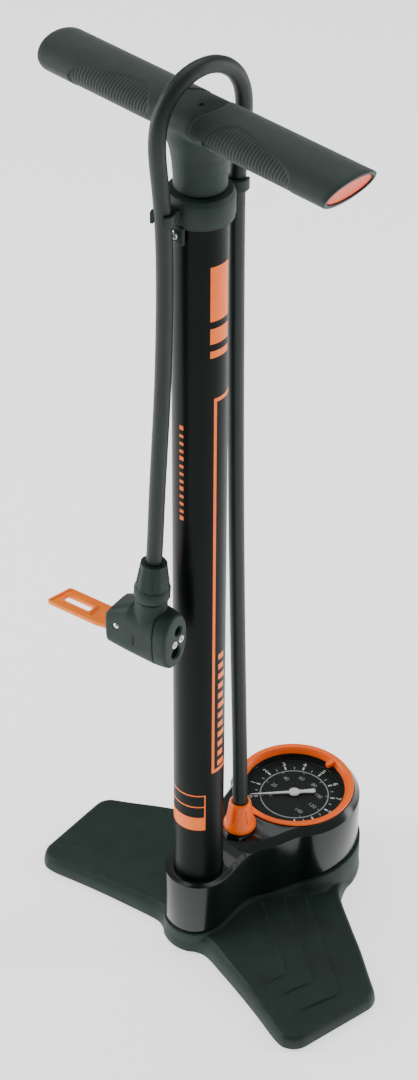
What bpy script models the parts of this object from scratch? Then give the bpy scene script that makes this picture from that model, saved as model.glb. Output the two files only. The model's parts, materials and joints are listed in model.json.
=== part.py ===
"""Floor bike pump with a pressure gauge, a folded-back hose and a lever valve head.

Frame: origin on the floor under the barrel's axis, +Z up the barrel, +X along the T-handle and
towards one foot, +Y from the barrel towards the gauge. Sizes below are in millimetres.
"""
import bpy
import bmesh
from math import ceil, cos, hypot, pi, radians, sin
from mathutils import Vector

MM = 0.001
GAP = 0.3                       # between pieces that touch
CUTTER_TURN = 1.37              # degrees from one round cutter to the next

# barrel and rod
BARREL_R, BARREL_BORE = 17.5, 15.8
BARREL_FOOT, BARREL_TOP = 22.3, 604.0
ROD_R = 5.0
PISTON_Z = 42.0                 # underside of the piston with the handle down

# collar at the barrel's top
COLLAR_R, COLLAR_Z0, COLLAR_Z1 = 21.0, 598.8, 617.4
CLIP_Y = 30.3                   # hose clips, either side of the collar

# T-handle
HANDLE_Z = 662.6                # axis of the bar
HANDLE_A, HANDLE_B = 20.6, 11.3  # half widths of its oval section, along Y and Z
HANDLE_HALF = 116.6             # half length on the axis
END_SLANT = 0.52                # the ends lean out by this much for each mm of height
SADDLE_HALF = 24.0              # smooth middle between the grips

# base
GAUGE_Y = 98.5                  # gauge axis
HOUSING_R, HOUSING_TOP = 48.0, 78.0
CUP_R, CUP_TOP = 24.3, 66.5
SKIRT_R = 25.6                  # lower base round the barrel
SEAM_FRONT, SEAM_BACK = 18.5, 31.0
WALL = 3.0
BASE_UNDER = 1.2                # the pads carry the base this far off the floor
WING_TOP = 12.0                 # height of a foot at its outer end

# gauge
MARK_ANGLE = 86.0               # bezel's marker tab, degrees from +X
NEEDLE_TIP, NEEDLE_TAIL = 33.0, 15.5
NEEDLE_ZERO = 230.0             # the needle's rest, degrees from +X

# feet: rubber pads, and the screws that hold the cover to the base
PADS = [("foot_pad_front", 0, 0, 9.0), ("foot_pad_right", 120, -16, 9.0), ("foot_pad_left", -120, -16, 9.0),
        ("foot_pad_rear", 0, 128, 9.0)]
SCREWS = [(13.5, 34), (-13.5, 34), (33, 119), (-33, 119)]

# hose and its nut
HOSE_R = 5.25
NUT_Y = 41.6
HOSE_FOOT = 88.0                # where the hose meets the spigot inside the nut

# valve head
HEAD_X, HEAD_Y, HEAD_YAW = -1.3, -41.4, 10.5
HEAD_LEAN = 4.5                 # the sleeve's top leans back towards the barrel
SLEEVE_Z = 333.4
HEAD_FACE = 18.8                # valve face, along the head from the sleeve's axis
HEAD_SEAM = 9.0
HEAD_REAR = -29.2
HEAD_HALF = 13.0
HEAD_MID = 304.3                # middle of the valve face
PIVOT_U, PIVOT_Z = -20.1, 307.7
LEVER_Z, LEVER_THICK = 299.0, 2.8
LEVER_TIP = -79.0


# ---------------------------------------------------------------- helpers
def clear_scene():
    for obj in list(bpy.data.objects):
        bpy.data.objects.remove(obj, do_unlink=True)


def collection(name):
    made = bpy.data.collections.new(name)
    bpy.context.scene.collection.children.link(made)
    return made


def material(name, colour, roughness, metallic=0.0, alpha=1.0):
    mat = bpy.data.materials.new(name)
    mat.use_nodes = True
    shader = mat.node_tree.nodes["Principled BSDF"]
    shader.inputs["Base Color"].default_value = (*colour, 1.0)
    shader.inputs["Roughness"].default_value = roughness
    shader.inputs["Metallic"].default_value = metallic
    shader.inputs["Alpha"].default_value = alpha
    return mat


def place(name, mesh, mat, where=None):
    obj = bpy.data.objects.new(name, mesh)
    (where or PUMP).objects.link(obj)
    if mat:
        mesh.materials.append(mat)
    else:
        obj.hide_render = True
        obj.display_type = "WIRE"
    return obj


def round_shade(mesh):
    mesh.shade_smooth()
    mesh.set_sharp_from_angle(angle=radians(35))


def from_bmesh(name, bm, mat, smooth=True):
    bmesh.ops.recalc_face_normals(bm, faces=bm.faces)
    mesh = bpy.data.meshes.new(name)
    bm.to_mesh(mesh)
    bm.free()
    if smooth:
        round_shade(mesh)
    return place(name, mesh, mat, None if mat else CUTTERS)


def turned(name, profile, mat, at=(0, 0), segments=28):
    """Profile (radius, height) from the top of the outer side down; closed unless it ends on the axis."""
    mesh = bpy.data.meshes.new(name)
    points = [(r * MM, 0, z * MM) for r, z in profile]
    edges = [(i, i + 1) for i in range(len(points) - 1)]
    if profile[0][0] > 0:
        edges.append((len(points) - 1, 0))
    mesh.from_pydata(points, edges, [])
    obj = place(name, mesh, mat, None if mat else CUTTERS)
    obj.location = (at[0] * MM, at[1] * MM, 0)
    if not mat:                 # no cutter's edges fall on those of a piece on the same axis
        obj.rotation_euler.z = radians(CUTTER_TURN * len(CUTTERS.objects))
    screw = obj.modifiers.new("Turn", "SCREW")
    screw.angle = 2 * pi
    screw.steps = screw.render_steps = segments
    screw.use_merge_vertices = True
    screw.merge_threshold = 0.00001
    screw.use_smooth_shade = True
    return obj


def ring(name, inner, outer, z0, z1, mat, at=(0, 0), segments=24):
    return turned(name, [(outer, z1), (outer, z0), (inner, z0), (inner, z1)], mat, at, segments)


def disc(name, radius, z0, z1, mat, at=(0, 0), segments=28):
    return turned(name, [(0, z1), (radius, z1), (radius, z0), (0, z0)], mat, at, segments)


def block(name, centre, size, mat, bevel=0.0, yaw=0.0):
    bm = bmesh.new()
    bmesh.ops.create_cube(bm, size=1.0)
    bmesh.ops.scale(bm, vec=Vector(size) * MM, verts=bm.verts)
    if bevel:
        bmesh.ops.bevel(bm, geom=bm.edges[:], offset=bevel * MM, affect="EDGES", segments=2,
                        profile=0.5, material=-1)
    obj = from_bmesh(name, bm, mat, smooth=False)
    obj.location = Vector(centre) * MM
    obj.rotation_euler.z = radians(yaw)
    return obj


def rod(name, start, end, radius, mat, segments=20):
    """A round bar between two points."""
    a, b = Vector(start) * MM, Vector(end) * MM
    bm = bmesh.new()
    bmesh.ops.create_cone(bm, cap_ends=True, segments=segments, radius1=radius * MM,
                          radius2=radius * MM, depth=(b - a).length)
    obj = from_bmesh(name, bm, mat)
    obj.location = (a + b) / 2
    obj.rotation_euler = (b - a).to_track_quat("Z", "Y").to_euler()
    return obj


def loft(name, rings, mat, tube=False):
    """Skins a row of matching closed outlines, in mm; a tube joins the last to the first."""
    bm = bmesh.new()
    loops = [[bm.verts.new(Vector(p) * MM) for p in outline] for outline in rings]
    count = len(loops[0])
    pairs = list(zip(loops, loops[1:]))
    if tube:
        pairs.append((loops[-1], loops[0]))
    else:
        bm.faces.new(loops[0])
        bm.faces.new(loops[-1])
    for lower, upper in pairs:
        for i in range(count):
            j = (i + 1) % count
            bm.faces.new((lower[i], lower[j], upper[j], upper[i]))
    return from_bmesh(name, bm, mat)


def inset_loop(loop, distance):
    """Moves a closed outline inwards along its own normals; the outline runs anticlockwise."""
    moved = []
    for i, (x, y) in enumerate(loop):
        (x0, y0), (x1, y1) = loop[i - 1], loop[(i + 1) % len(loop)]
        dx, dy = x1 - x0, y1 - y0
        size = hypot(dx, dy)
        moved.append((x - dy / size * distance, y + dx / size * distance))
    return moved


def stack(name, loop, levels, mat, lift=None):
    """Lofts an outline through (height, inset) levels; lift(x, y, z) moves a point's height."""
    rings = []
    for z, inset in levels:
        outline = inset_loop(loop, inset)
        rings.append([(x, y, lift(x, y, z) if lift else z) for x, y in outline])
    return loft(name, rings, mat)


def sheet(name, profile, depth, mat=None):
    """A prism along X from a profile of (y, z) points, used to trim along a seam."""
    rings = [[(side * depth, y, z) for y, z in profile] for side in (-1, 1)]
    return loft(name, rings, mat)


def cut(obj, *tools):
    for tool in tools:
        step = obj.modifiers.new("Cut " + tool.name, "BOOLEAN")
        step.operation = "DIFFERENCE"
        step.object = tool


def join(obj, *tools):
    for tool in tools:
        step = obj.modifiers.new("Join " + tool.name, "BOOLEAN")
        step.operation = "UNION"
        step.object = tool


def arc(cx, cy, radius, start, end, count):
    """Points on an arc, in degrees from +X, ends included."""
    steps = [start + (end - start) * i / count for i in range(count + 1)]
    return [(cx + radius * cos(radians(a)), cy + radius * sin(radians(a))) for a in steps]


def smooth_route(points, spacing):
    """Reads a Catmull-Rom curve through a route's points at about the given spacing."""
    pts = [Vector(p) for p in points]
    pts = [2 * pts[0] - pts[1]] + pts + [2 * pts[-1] - pts[-2]]
    route = [pts[1]]
    for p0, p1, p2, p3 in zip(pts, pts[1:], pts[2:], pts[3:]):
        count = max(1, ceil((p2 - p1).length / spacing))
        for k in range(1, count + 1):
            t = k / count
            route.append(0.5 * (2 * p1 + (p2 - p0) * t + (2 * p0 - 5 * p1 + 4 * p2 - p3) * t * t
                                + (3 * p1 - p0 - 3 * p2 + p3) * t ** 3))
    return route


def hose_tube(name, points, radius, mat, resolution=2):
    curve = bpy.data.curves.new(name, "CURVE")
    curve.dimensions = "3D"
    curve.bevel_depth = radius * MM
    curve.bevel_resolution = resolution
    curve.use_fill_caps = True
    spline = curve.splines.new("POLY")
    spline.points.add(len(points) - 1)
    for point, p in zip(spline.points, points):
        point.co = (*(Vector(p) * MM), 1.0)
    obj = bpy.data.objects.new(name, curve)
    PUMP.objects.link(obj)
    curve.materials.append(mat)
    return obj


def mirror_loop(half):
    """Closes an outline given on its +X side, from the front (-Y) to the back."""
    return half + [(-x, y) for x, y in reversed(half) if x > 0.01]


# ---------------------------------------------------------------- outlines
def seam_height(y):
    """The seam between base and cover climbs from the barrel to the gauge."""
    t = min(1.0, max(0.0, (y + 10) / 100))
    return SEAM_FRONT + (SEAM_BACK - SEAM_FRONT) * t + 0.003 * y


def body_outline(barrel_r, housing_r, waist):
    """Barrel circle, hollow flank and gauge circle, as one outline."""
    half = arc(0, 0, barrel_r, -90, 8, 9)
    half += [(waist[0], waist[1]), (waist[0] + 2.2, waist[1] + 12), (waist[0] + 8, waist[1] + 24)]
    half += arc(0, GAUGE_Y, housing_r, -42, 90, 12)
    return mirror_loop(half)


def wing_outline():
    """Both swept feet and the round behind them, on the floor."""
    def front_y(x):
        return -13.5 - 13.7 * (x / 100) - 7.1 * (x / 100) ** 2
    half = arc(0, 0, SKIRT_R + 0.4, -90, -48, 3)
    half += [(x, front_y(x)) for x in (26, 45, 70, 92, 112)]
    half += arc(119.0, -24.2, 15.0, -82, -12, 4)
    half += arc(126.5, 30.0, 15.0, 0, 62, 4)
    half += [(104, 62.5), (78, 77.8), (62, 87.6), (55.5, 93.5)]
    half += arc(0, GAUGE_Y, HOUSING_R + 2.4, 6, 90, 8)
    return mirror_loop(half)


def wing_lift(x, y, z):
    """The feet climb a little towards the middle."""
    if z < 8:
        return z
    return z + 4.0 * (1 - min(1.0, abs(x) / 125))


# ---------------------------------------------------------------- base
def make_base():
    plate = stack("base_plate", wing_outline(),
                  [(BASE_UNDER, 0.6), (2.2, 0), (8.6, 1.6), (11.2, 2.4), (WING_TOP, 3.6)],
                  TEXTURED, wing_lift)
    riser = stack("base_riser", body_outline(SKIRT_R, HOUSING_R + 2.2, (22.5, 24)),
                  [(BASE_UNDER + 0.6, 0.4), (40, 0.4)], None)
    join(plate, riser)
    over = sheet("seam_over", [(-60, seam_height(-60)), (-10, seam_height(-10)),
                               (90, seam_height(90)), (200, seam_height(200)), (200, 90), (-60, 90)], 160)
    cut(plate, over)
    well = stack("base_well", body_outline(SKIRT_R - WALL, HOUSING_R - 1.0, (17.5, 24)),
                 [(6.0, 0), (60, 0)], None)
    cut(plate, well)
    for side, label in ((1, "right"), (-1, "left")):
        for k, (x0, x1, y0, y1) in enumerate(((34, 58, -8, 56), (61, 85, -14, 54), (88, 106, -18, 42))):
            x = side * (x0 + x1) / 2
            cut(plate, block("pocket_%s_%d" % (label, k), (x, (y0 + y1) / 2, 4.0),
                             (x1 - x0, y1 - y0, 10.0), None))
    for name, x, y, r in PADS:
        disc(name, r, 0.0, 3.4, RUBBER, at=(x, y), segments=16)
        cut(plate, disc("seat_" + name, r + GAP, -1.0, 3.7, None, at=(x, y), segments=16))
    for k, (x, y) in enumerate(SCREWS):
        turned("base_screw_%d" % (k + 1), [(0, 14.0), (1.6, 14.0), (1.6, 5.0), (3.6, 5.0), (3.6, 2.6),
                                           (1.5, 2.6), (1.5, 4.0), (0, 4.0)], STEEL, at=(x, y), segments=12)
        cut(plate, turned("screw_way_%d" % (k + 1),
                          [(0, 15), (2.0, 15), (2.0, 5.3), (4.2, 5.3), (4.2, -1), (0, -1)],
                          None, at=(x, y), segments=12))
    return plate


def make_cover():
    outline = body_outline(CUP_R, HOUSING_R, (21.5, 24))
    cover = stack("base_cover", outline,
                  [(12, 0), (HOUSING_TOP - 6.5, 0), (HOUSING_TOP - 1.5, 2.6), (HOUSING_TOP, 4.0)], GLOSS)
    under = sheet("seam_under", [(-60, seam_height(-60) + 0.4), (-10, seam_height(-10) + 0.4),
                                 (90, seam_height(90) + 0.4), (200, seam_height(200) + 0.4),
                                 (200, -5), (-60, -5)], 160)
    top = sheet("cover_top", [(-60, CUP_TOP), (16, CUP_TOP), (27, CUP_TOP + 1.0), (50, HOUSING_TOP + 0.6),
                              (50, 120), (-60, 120)], 160)
    cut(cover, under, top)
    cavity = stack("cover_cavity", body_outline(CUP_R - WALL, HOUSING_R - WALL, (18.0, 24)),
                   [(5, 0), (46, 0)], None)
    cut(cover, cavity)
    for k, (x, y) in enumerate(SCREWS):
        join(cover, disc("boss_%d" % (k + 1), 3.8, 6.4, 48, None, at=(x, y), segments=12))
        cut(cover, disc("pilot_%d" % (k + 1), 1.9, 0, 18, None, at=(x, y), segments=10))
    cut(cover, disc("barrel_way", BARREL_R + GAP, 40, 90, None))
    cut(cover, disc("gauge_well", 38.6, 50, 90, None, at=(0, GAUGE_Y), segments=36))
    cut(cover, disc("bezel_seat", 41.5, 74.7, 90, None, at=(0, GAUGE_Y), segments=36))
    boss = disc("nut_boss", 9.5, 55, 75.4, None, at=(0, NUT_Y), segments=8)
    join(cover, boss)
    cut(cover, disc("nut_recess", 11.9, 75.2, 95, None, at=(0, NUT_Y), segments=28))
    cut(cover, disc("spigot_way", 4.6, 30, 90, None, at=(0, NUT_Y), segments=20))
    cut(cover, disc("stem_way", 4.6, 40, 60, None, at=(0, GAUGE_Y), segments=20))
    return cover


def make_air_path():
    turned("barrel", [(BARREL_R, BARREL_TOP), (BARREL_R, BARREL_FOOT), (BARREL_BORE, BARREL_FOOT),
                      (BARREL_BORE, BARREL_TOP)], BARREL_PAINT, segments=36)
    body = turned("valve_block", [(0, 34.0), (15.4, 34.0), (15.4, 30.2), (13.8, 30.2), (13.8, 27.4),
                                  (15.4, 27.4), (15.4, 22.0), (19.0, 22.0), (19.0, 6.3), (0, 6.3)],
                  ALLOY, segments=32)
    arm = block("block_arm", (0, 32, 13.9), (14, 42, 12.2), None)
    join(body, arm)
    cut(body, disc("valve_seat_way", 4.6, 24, 40, None, segments=20))
    cut(body, disc("valve_throat", 2.2, 14, 26, None, segments=16))
    cut(body, rod("arm_duct", (0, 0, 14), (0, 60, 14), 2.0, None, 12))
    cut(body, disc("spigot_duct", 2.0, 14, 30, None, at=(0, NUT_Y), segments=12))
    ring("block_o_ring", 14.1, 15.5, 27.7, 29.9, RUBBER)
    disc("check_valve_disc", 4.0, 24.4, 26.0, RUBBER, segments=20)
    ring("check_valve_spring", 2.4, 3.6, 26.3, 31.4, STEEL, segments=16)
    ring("check_valve_cage", 1.4, 4.3, 31.7, 33.4, ALLOY, segments=20)
    turned("hose_spigot", [(4.0, HOSE_FOOT - GAP), (4.0, 76.0), (4.3, 76.0), (4.3, 20.3), (2.0, 20.3),
                           (2.0, HOSE_FOOT - GAP)], BRASS, at=(0, NUT_Y), segments=20)
    turned("hose_nut", [(6.4, 100.0), (7.6, 98.6), (10.2, 83.0), (11.4, 79.6), (11.4, 76.4), (10.8, 75.9),
                        (4.6, 75.9), (4.6, 82.0), (HOSE_R + GAP, 82.6), (HOSE_R + GAP, 100.0)],
           ORANGE, at=(0, NUT_Y), segments=24)
    hose_tube("gauge_pipe", smooth_route([(0, 53.4, 14), (0, 70, 14), (0, 88, 20), (0, 97.5, 32),
                                          (0, GAUGE_Y, 49.5)], 8), 2.4, BRASS)


def make_gauge():
    at = (0, GAUGE_Y)
    turned("gauge_case", [(38.2, 74.2), (38.2, 50.4), (2.6, 50.4), (2.6, 51.6), (36.9, 51.6), (36.9, 74.2)],
           STEEL, at=at, segments=36)
    bourdon = [(24 * cos(radians(a)), GAUGE_Y + 24 * sin(radians(a)), 58.0) for a in range(-90, 181, 15)]
    hose_tube("bourdon_tube", [(0, GAUGE_Y - 14, 58.0)] + bourdon, 2.2, BRASS)
    block("gauge_socket", (0, GAUGE_Y - 9, 57), (10, 9, 10), BRASS, 0.6)
    movement = block("gauge_movement", (0, GAUGE_Y + 1, 60.5), (22, 8, 12), BRASS, 0.6)
    cut(movement, disc("arbor_way", 1.5, 40, 80, None, at=at, segments=12))
    ring("dial_plate", 1.6, 36.5, 67.9, 68.7, DIAL, at=at, segments=36)
    disc("gauge_lens", 36.6, 73.0, 74.2, CLEAR, at=at, segments=36)
    bezel = turned("gauge_bezel", [(41.8, 79.6), (43.6, 78.8), (43.6, 78.4), (41.2, 78.3), (41.2, 75.1),
                                   (36.9, 75.1), (36.9, 75.6), (39.4, 79.4)], ORANGE, at=at, segments=36)
    tab = block("bezel_tab", (37.6 * cos(radians(MARK_ANGLE)), GAUGE_Y + 37.6 * sin(radians(MARK_ANGLE)), 77.2),
                (6.0, 3.2, 3.6), None, yaw=MARK_ANGLE)
    join(bezel, tab)
    arbor = disc("needle_arbor", 1.1, 58.0, 71.4, None, segments=12)
    arbor.location = (0, GAUGE_Y * MM, 0)
    needle = block("gauge_needle", (0, 0, 0), (NEEDLE_TIP + NEEDLE_TAIL, 2.4, 0.8), WHITE)
    for vertex in needle.data.vertices:
        vertex.co.x += (NEEDLE_TIP - NEEDLE_TAIL) / 2 * MM
        if vertex.co.x > 0:
            vertex.co.y *= 0.35
        vertex.co.z += 71.0 * MM
    needle.location = (0, GAUGE_Y * MM, 0)
    needle.rotation_euler.z = radians(NEEDLE_ZERO)
    join(needle, arbor)


# ---------------------------------------------------------------- barrel top, rod and handle
def make_collar():
    collar = turned("barrel_collar", [(19.4, COLLAR_Z1), (COLLAR_R, COLLAR_Z1 - 4), (COLLAR_R, COLLAR_Z0),
                                      (BARREL_R + GAP, COLLAR_Z0), (BARREL_R + GAP, 608.0), (8.4, 608.0),
                                      (8.4, COLLAR_Z1)], TEXTURED, segments=32)
    for side, label in ((-1, "front"), (1, "rear")):
        y = side * CLIP_Y
        hold = turned("clip_" + label, [(0, 612.4), (7.6, 612.4), (7.6, 604.4), (0, 604.4)], None,
                      at=(0, y), segments=18)
        web = block("clip_web_" + label, (0, side * 22.6, 608.4), (9.0, 8.0, 7.0), None)
        join(collar, hold, web)
        cut(collar, disc("clip_way_" + label, HOSE_R + GAP, 580, 640, None, at=(0, y), segments=18))
        cut(collar, block("clip_mouth_" + label, (0, side * (CLIP_Y + 8.0), 608.4), (8.6, 9.0, 20), None))
    tongue = block("collar_tongue", (0, -19.3, 594.0), (13.0, 2.6, 12.0), None, 1.0)
    join(collar, tongue)
    cut(collar, rod("tongue_hole", (0, -10, 593.6), (0, -30, 593.6), 1.8, None, 14))
    screw = rod("collar_screw", (0, -17.9, 593.6), (0, -20.9, 593.6), 1.5, STEEL, 14)
    head = rod("collar_screw_head", (0, -20.9, 593.6), (0, -22.2, 593.6), 2.9, None, 14)
    join(screw, head)
    turned("rod_guide_bush", [(17.2, 607.6), (17.2, BARREL_TOP + GAP), (BARREL_BORE - GAP, BARREL_TOP + GAP),
                              (BARREL_BORE - GAP, 584.0), (ROD_R + 0.1, 584.0), (ROD_R + 0.1, 607.6)],
           NYLON, segments=32)
    ring("rod_bumper", ROD_R + 0.4, 8.0, 608.2, 616.8, RUBBER, segments=28)


def handle_ring(x, grow, lean, count=24):
    """An oval outline across the handle; lean tips it so that the top is longer."""
    a, b = HANDLE_A + grow, HANDLE_B + grow
    points = []
    for k in range(count):
        t = 2 * pi * k / count
        z = b * sin(t)
        points.append((x + lean * z, a * cos(t), HANDLE_Z + z))
    return points


def make_handle():
    inner = -4.0
    rings = [handle_ring(-HANDLE_HALF + 16, inner, 0)]
    rings += [handle_ring(-SADDLE_HALF - 0.01, inner, 0), handle_ring(-SADDLE_HALF, 0, 0)]
    rings += [handle_ring(SADDLE_HALF, 0, 0), handle_ring(SADDLE_HALF + 0.01, inner, 0)]
    rings += [handle_ring(HANDLE_HALF - 16, inner, 0)]
    core = loft("handle_core", rings, TEXTURED)
    hub = turned("handle_hub", [(0, HANDLE_Z), (19.8, HANDLE_Z), (19.2, 650.0), (17.2, 641.0), (16.2, 617.7),
                                (0, 617.7)], None, segments=32)
    join(core, hub)
    cut(core, turned("rod_socket", [(0, 656.0), (8.4, 656.0), (8.4, 640.0), (ROD_R + GAP, 640.0),
                                    (ROD_R + GAP, 600.0), (0, 600.0)], None, segments=24))
    insert = disc("handle_insert", 8.1, 640.4, 655.6, BRASS, segments=6)
    cut(insert, disc("insert_bore", ROD_R + GAP, 630, 660, None, segments=20))
    for side, label in ((-1, "left"), (1, "right")):
        start, tip = side * (SADDLE_HALF + GAP), side * HANDLE_HALF
        grip = [handle_ring(start, 0, 0), handle_ring(tip, 0, side * END_SLANT),
                handle_ring(tip, -2.8, side * END_SLANT), handle_ring(tip - side * 5.0, -2.8, side * END_SLANT),
                handle_ring(tip - side * 6.0, inner + GAP, side * END_SLANT),
                handle_ring(start, inner + GAP, 0)]
        loft("grip_" + label, grip, GRIP, tube=True)
        cap = [handle_ring(tip - side * 4.6, -3.1, side * END_SLANT),
               handle_ring(tip - side * 0.8, -3.1, side * END_SLANT)]
        loft("end_cap_" + label, cap, CORAL)


def make_rod():
    turned("piston_rod", [(0, 655.2), (ROD_R, 655.2), (ROD_R, PISTON_Z + 7), (3.0, PISTON_Z + 7),
                          (3.0, PISTON_Z - 4.0), (0, PISTON_Z - 4.0)], CHROME, segments=24)
    turned("piston", [(15.2, PISTON_Z + 16), (15.2, PISTON_Z + 11), (13.2, PISTON_Z + 11), (13.2, PISTON_Z + 4.5),
                      (15.2, PISTON_Z + 4.5), (15.2, PISTON_Z), (3.3, PISTON_Z), (3.3, PISTON_Z + 6.7),
                      (ROD_R + GAP, PISTON_Z + 6.7), (ROD_R + GAP, PISTON_Z + 16)], NYLON, segments=32)
    turned("piston_seal", [(15.5, PISTON_Z + 10.6), (15.5, PISTON_Z + 5.0), (13.5, PISTON_Z + 4.9),
                           (13.5, PISTON_Z + 10.6)], RUBBER, segments=32)
    nut = disc("piston_nut", 5.6, PISTON_Z - 4.2, PISTON_Z - GAP, STEEL, segments=6)
    cut(nut, disc("nut_bore", 3.3, PISTON_Z - 10, PISTON_Z + 10, None, segments=16))


# ---------------------------------------------------------------- hose and head
HOSE_ROUTE = [
    (0, 41.6, 88), (0, 41.4, 108), (0, 40.6, 140), (0, 38.7, 197), (0, 36.8, 252), (0, 35.2, 305),
    (0, 33.6, 362), (0, 32.2, 430), (0, 31.2, 500), (0, 30.5, 560), (0, 30.3, 590), (0, 30.3, 608),
    (0, 31.5, 626), (0, 34.6, 644), (0, 36.6, 659), (0, 34.6, 673), (0, 27.4, 684.5), (0, 15.0, 692.6),
    (0, 0.0, 695.2), (0, -14.5, 692.8), (0, -26.5, 685.0), (0, -33.4, 673.5), (0, -35.6, 660.5),
    (0, -34.4, 646), (0, -32.0, 629), (0, -30.3, 610), (0, -29.6, 596), (0, -29.2, 570),
    (0, -30.0, 530), (0, -31.9, 486), (-0.5, -34.4, 444), (-0.9, -36.6, 408), (-1.2, -38.0, 376),
    (-1.3, -39.2, 361), (-1.3, -39.6, 356.3),
]


def head_point(u, v, z):
    """From the head's own frame: u along the head to the valve face, v across, z up."""
    c, s = cos(radians(HEAD_YAW)), sin(radians(HEAD_YAW))
    return (HEAD_X + u * c - v * s, HEAD_Y + u * s + v * c, z)


def head_section(u, half, low, high, squareness, count=24):
    """A rounded-square outline across the head."""
    mid, tall = (low + high) / 2, (high - low) / 2
    points = []
    for k in range(count):
        t = 2 * pi * k / count
        c, s = cos(t), sin(t)
        v = half * (1 if c > 0 else -1) * abs(c) ** squareness
        z = tall * (1 if s > 0 else -1) * abs(s) ** squareness
        points.append(head_point(u, v, mid + z))
    return points


def make_hose():
    hose_tube("hose", smooth_route(HOSE_ROUTE, 30), HOSE_R, HOSE_RUBBER)


def lean(obj):
    """Sets a turned piece on the head's leaning neck; its heights are counted from the neck's top."""
    obj.location.z = SLEEVE_Z * MM
    obj.rotation_euler = (radians(-HEAD_LEAN), 0, 0)


def make_head():
    face_low, face_high = HEAD_MID - 20.5, HEAD_MID + 20.5
    centre = (HEAD_X, HEAD_Y)
    body = loft("head_body", [head_section(HEAD_REAR, HEAD_HALF - 2, 291.5, 316.0, 0.35),
                              head_section(HEAD_REAR + 1.5, HEAD_HALF, 290.0, 317.5, 0.35),
                              head_section(-12.0, HEAD_HALF, 286.5, 326.0, 0.5),
                              head_section(HEAD_SEAM + 0.8, HEAD_HALF, face_low, face_high + 1.5, 0.7)], TEXTURED)
    neck = turned("head_neck", [(0, -0.8), (10.4, -0.8), (11.2, -21.0), (0, -21.0)], None, at=centre,
                  segments=28)
    lean(neck)
    join(body, neck)
    slot = block("lever_slot", head_point(-25.3, 0, 304.5), (23.6, 20.8, 18.0), None, yaw=HEAD_YAW)
    notch = block("lever_notch", head_point(-32.1, 0, 313.0), (10.0, 20.6, 14.0), None, yaw=HEAD_YAW)
    cut(body, slot, notch)
    cut(body, block("seam_face", head_point(HEAD_SEAM - GAP + 20, 0, 310), (40, 60, 80), None, yaw=HEAD_YAW))
    chamber = rod("seal_chamber", head_point(-15.0, 0, HEAD_MID), head_point(HEAD_SEAM + 4, 0, HEAD_MID),
                  9.4, None, 24)
    cut(body, chamber)
    cut(body, disc("head_duct", 2.0, 309, 360, None, at=centre, segments=12))
    pin_hole = rod("pin_way", head_point(PIVOT_U, -20, PIVOT_Z), head_point(PIVOT_U, 20, PIVOT_Z),
                   2.3, None, 16)
    cut(body, pin_hole)
    rod("lever_pin", head_point(PIVOT_U, -12.9, PIVOT_Z), head_point(PIVOT_U, 12.9, PIVOT_Z),
        2.0, CHROME, 16)

    cap = loft("head_cap", [head_section(HEAD_SEAM, HEAD_HALF, face_low, face_high + 1.2, 0.72),
                            head_section(HEAD_FACE - 2, HEAD_HALF, face_low, face_high, 0.85),
                            head_section(HEAD_FACE, HEAD_HALF - 1.6, face_low + 1.8, face_high - 1.8, 0.9)],
               TEXTURED)
    sockets = (("small", 3.5, 7.1, 3.0), ("large", 4.4, -9.1, 0.2))
    for label, radius, dz, v in sockets:
        z = HEAD_MID + dz
        way = rod("socket_" + label, head_point(0, v, z), head_point(40, v, z), radius, None, 20)
        seat = rod("seal_seat_" + label, head_point(0, v, z), head_point(HEAD_SEAM + 5.3, v, z),
                   radius + 2.2, None, 20)
        cut(cap, way, seat)
        seal = rod("valve_seal_" + label, head_point(HEAD_SEAM + 0.3, v, z), head_point(HEAD_SEAM + 5.0, v, z),
                   radius + 1.9, RUBBER, 20)
        cut(seal, rod("seal_bore_" + label, head_point(0, v, z), head_point(40, v, z), radius, None, 20))
    for label, dz, v in (("small", -1.2, 5.9), ("large", -1.6, -1.4)):
        z = HEAD_MID + dz
        dot = rod("face_ring_" + label, head_point(HEAD_FACE - 0.6, v, z), head_point(HEAD_FACE + 0.3, v, z),
                  2.5, WHITE, 18)
        cut(dot, rod("dot_bore_" + label, head_point(0, v, z), head_point(40, v, z), 1.2, None, 12))
        cut(cap, rod("dot_seat_" + label, head_point(HEAD_FACE - 0.9, v, z), head_point(40, v, z),
                     2.8, None, 18))
    plunger = rod("head_plunger", head_point(-8.0, 0, HEAD_MID), head_point(HEAD_SEAM - 4.0, 0, HEAD_MID),
                  9.0, NYLON, 24)
    stem = rod("plunger_stem", head_point(-13.6, 0, HEAD_MID), head_point(-7.0, 0, HEAD_MID), 3.2, None, 16)
    join(plunger, stem)

    sleeve = turned("head_sleeve", [(6.6, 28.4), (8.4, 27.6), (11.0, 10.4), (11.8, 9.4), (11.8, 1.4),
                                    (11.2, 0.0), (4.5, 0.0), (4.5, 22.0), (HOSE_R + GAP, 22.0),
                                    (HOSE_R + GAP, 28.4)], TEXTURED, at=centre, segments=24)
    lean(sleeve)
    make_lever()


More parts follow.
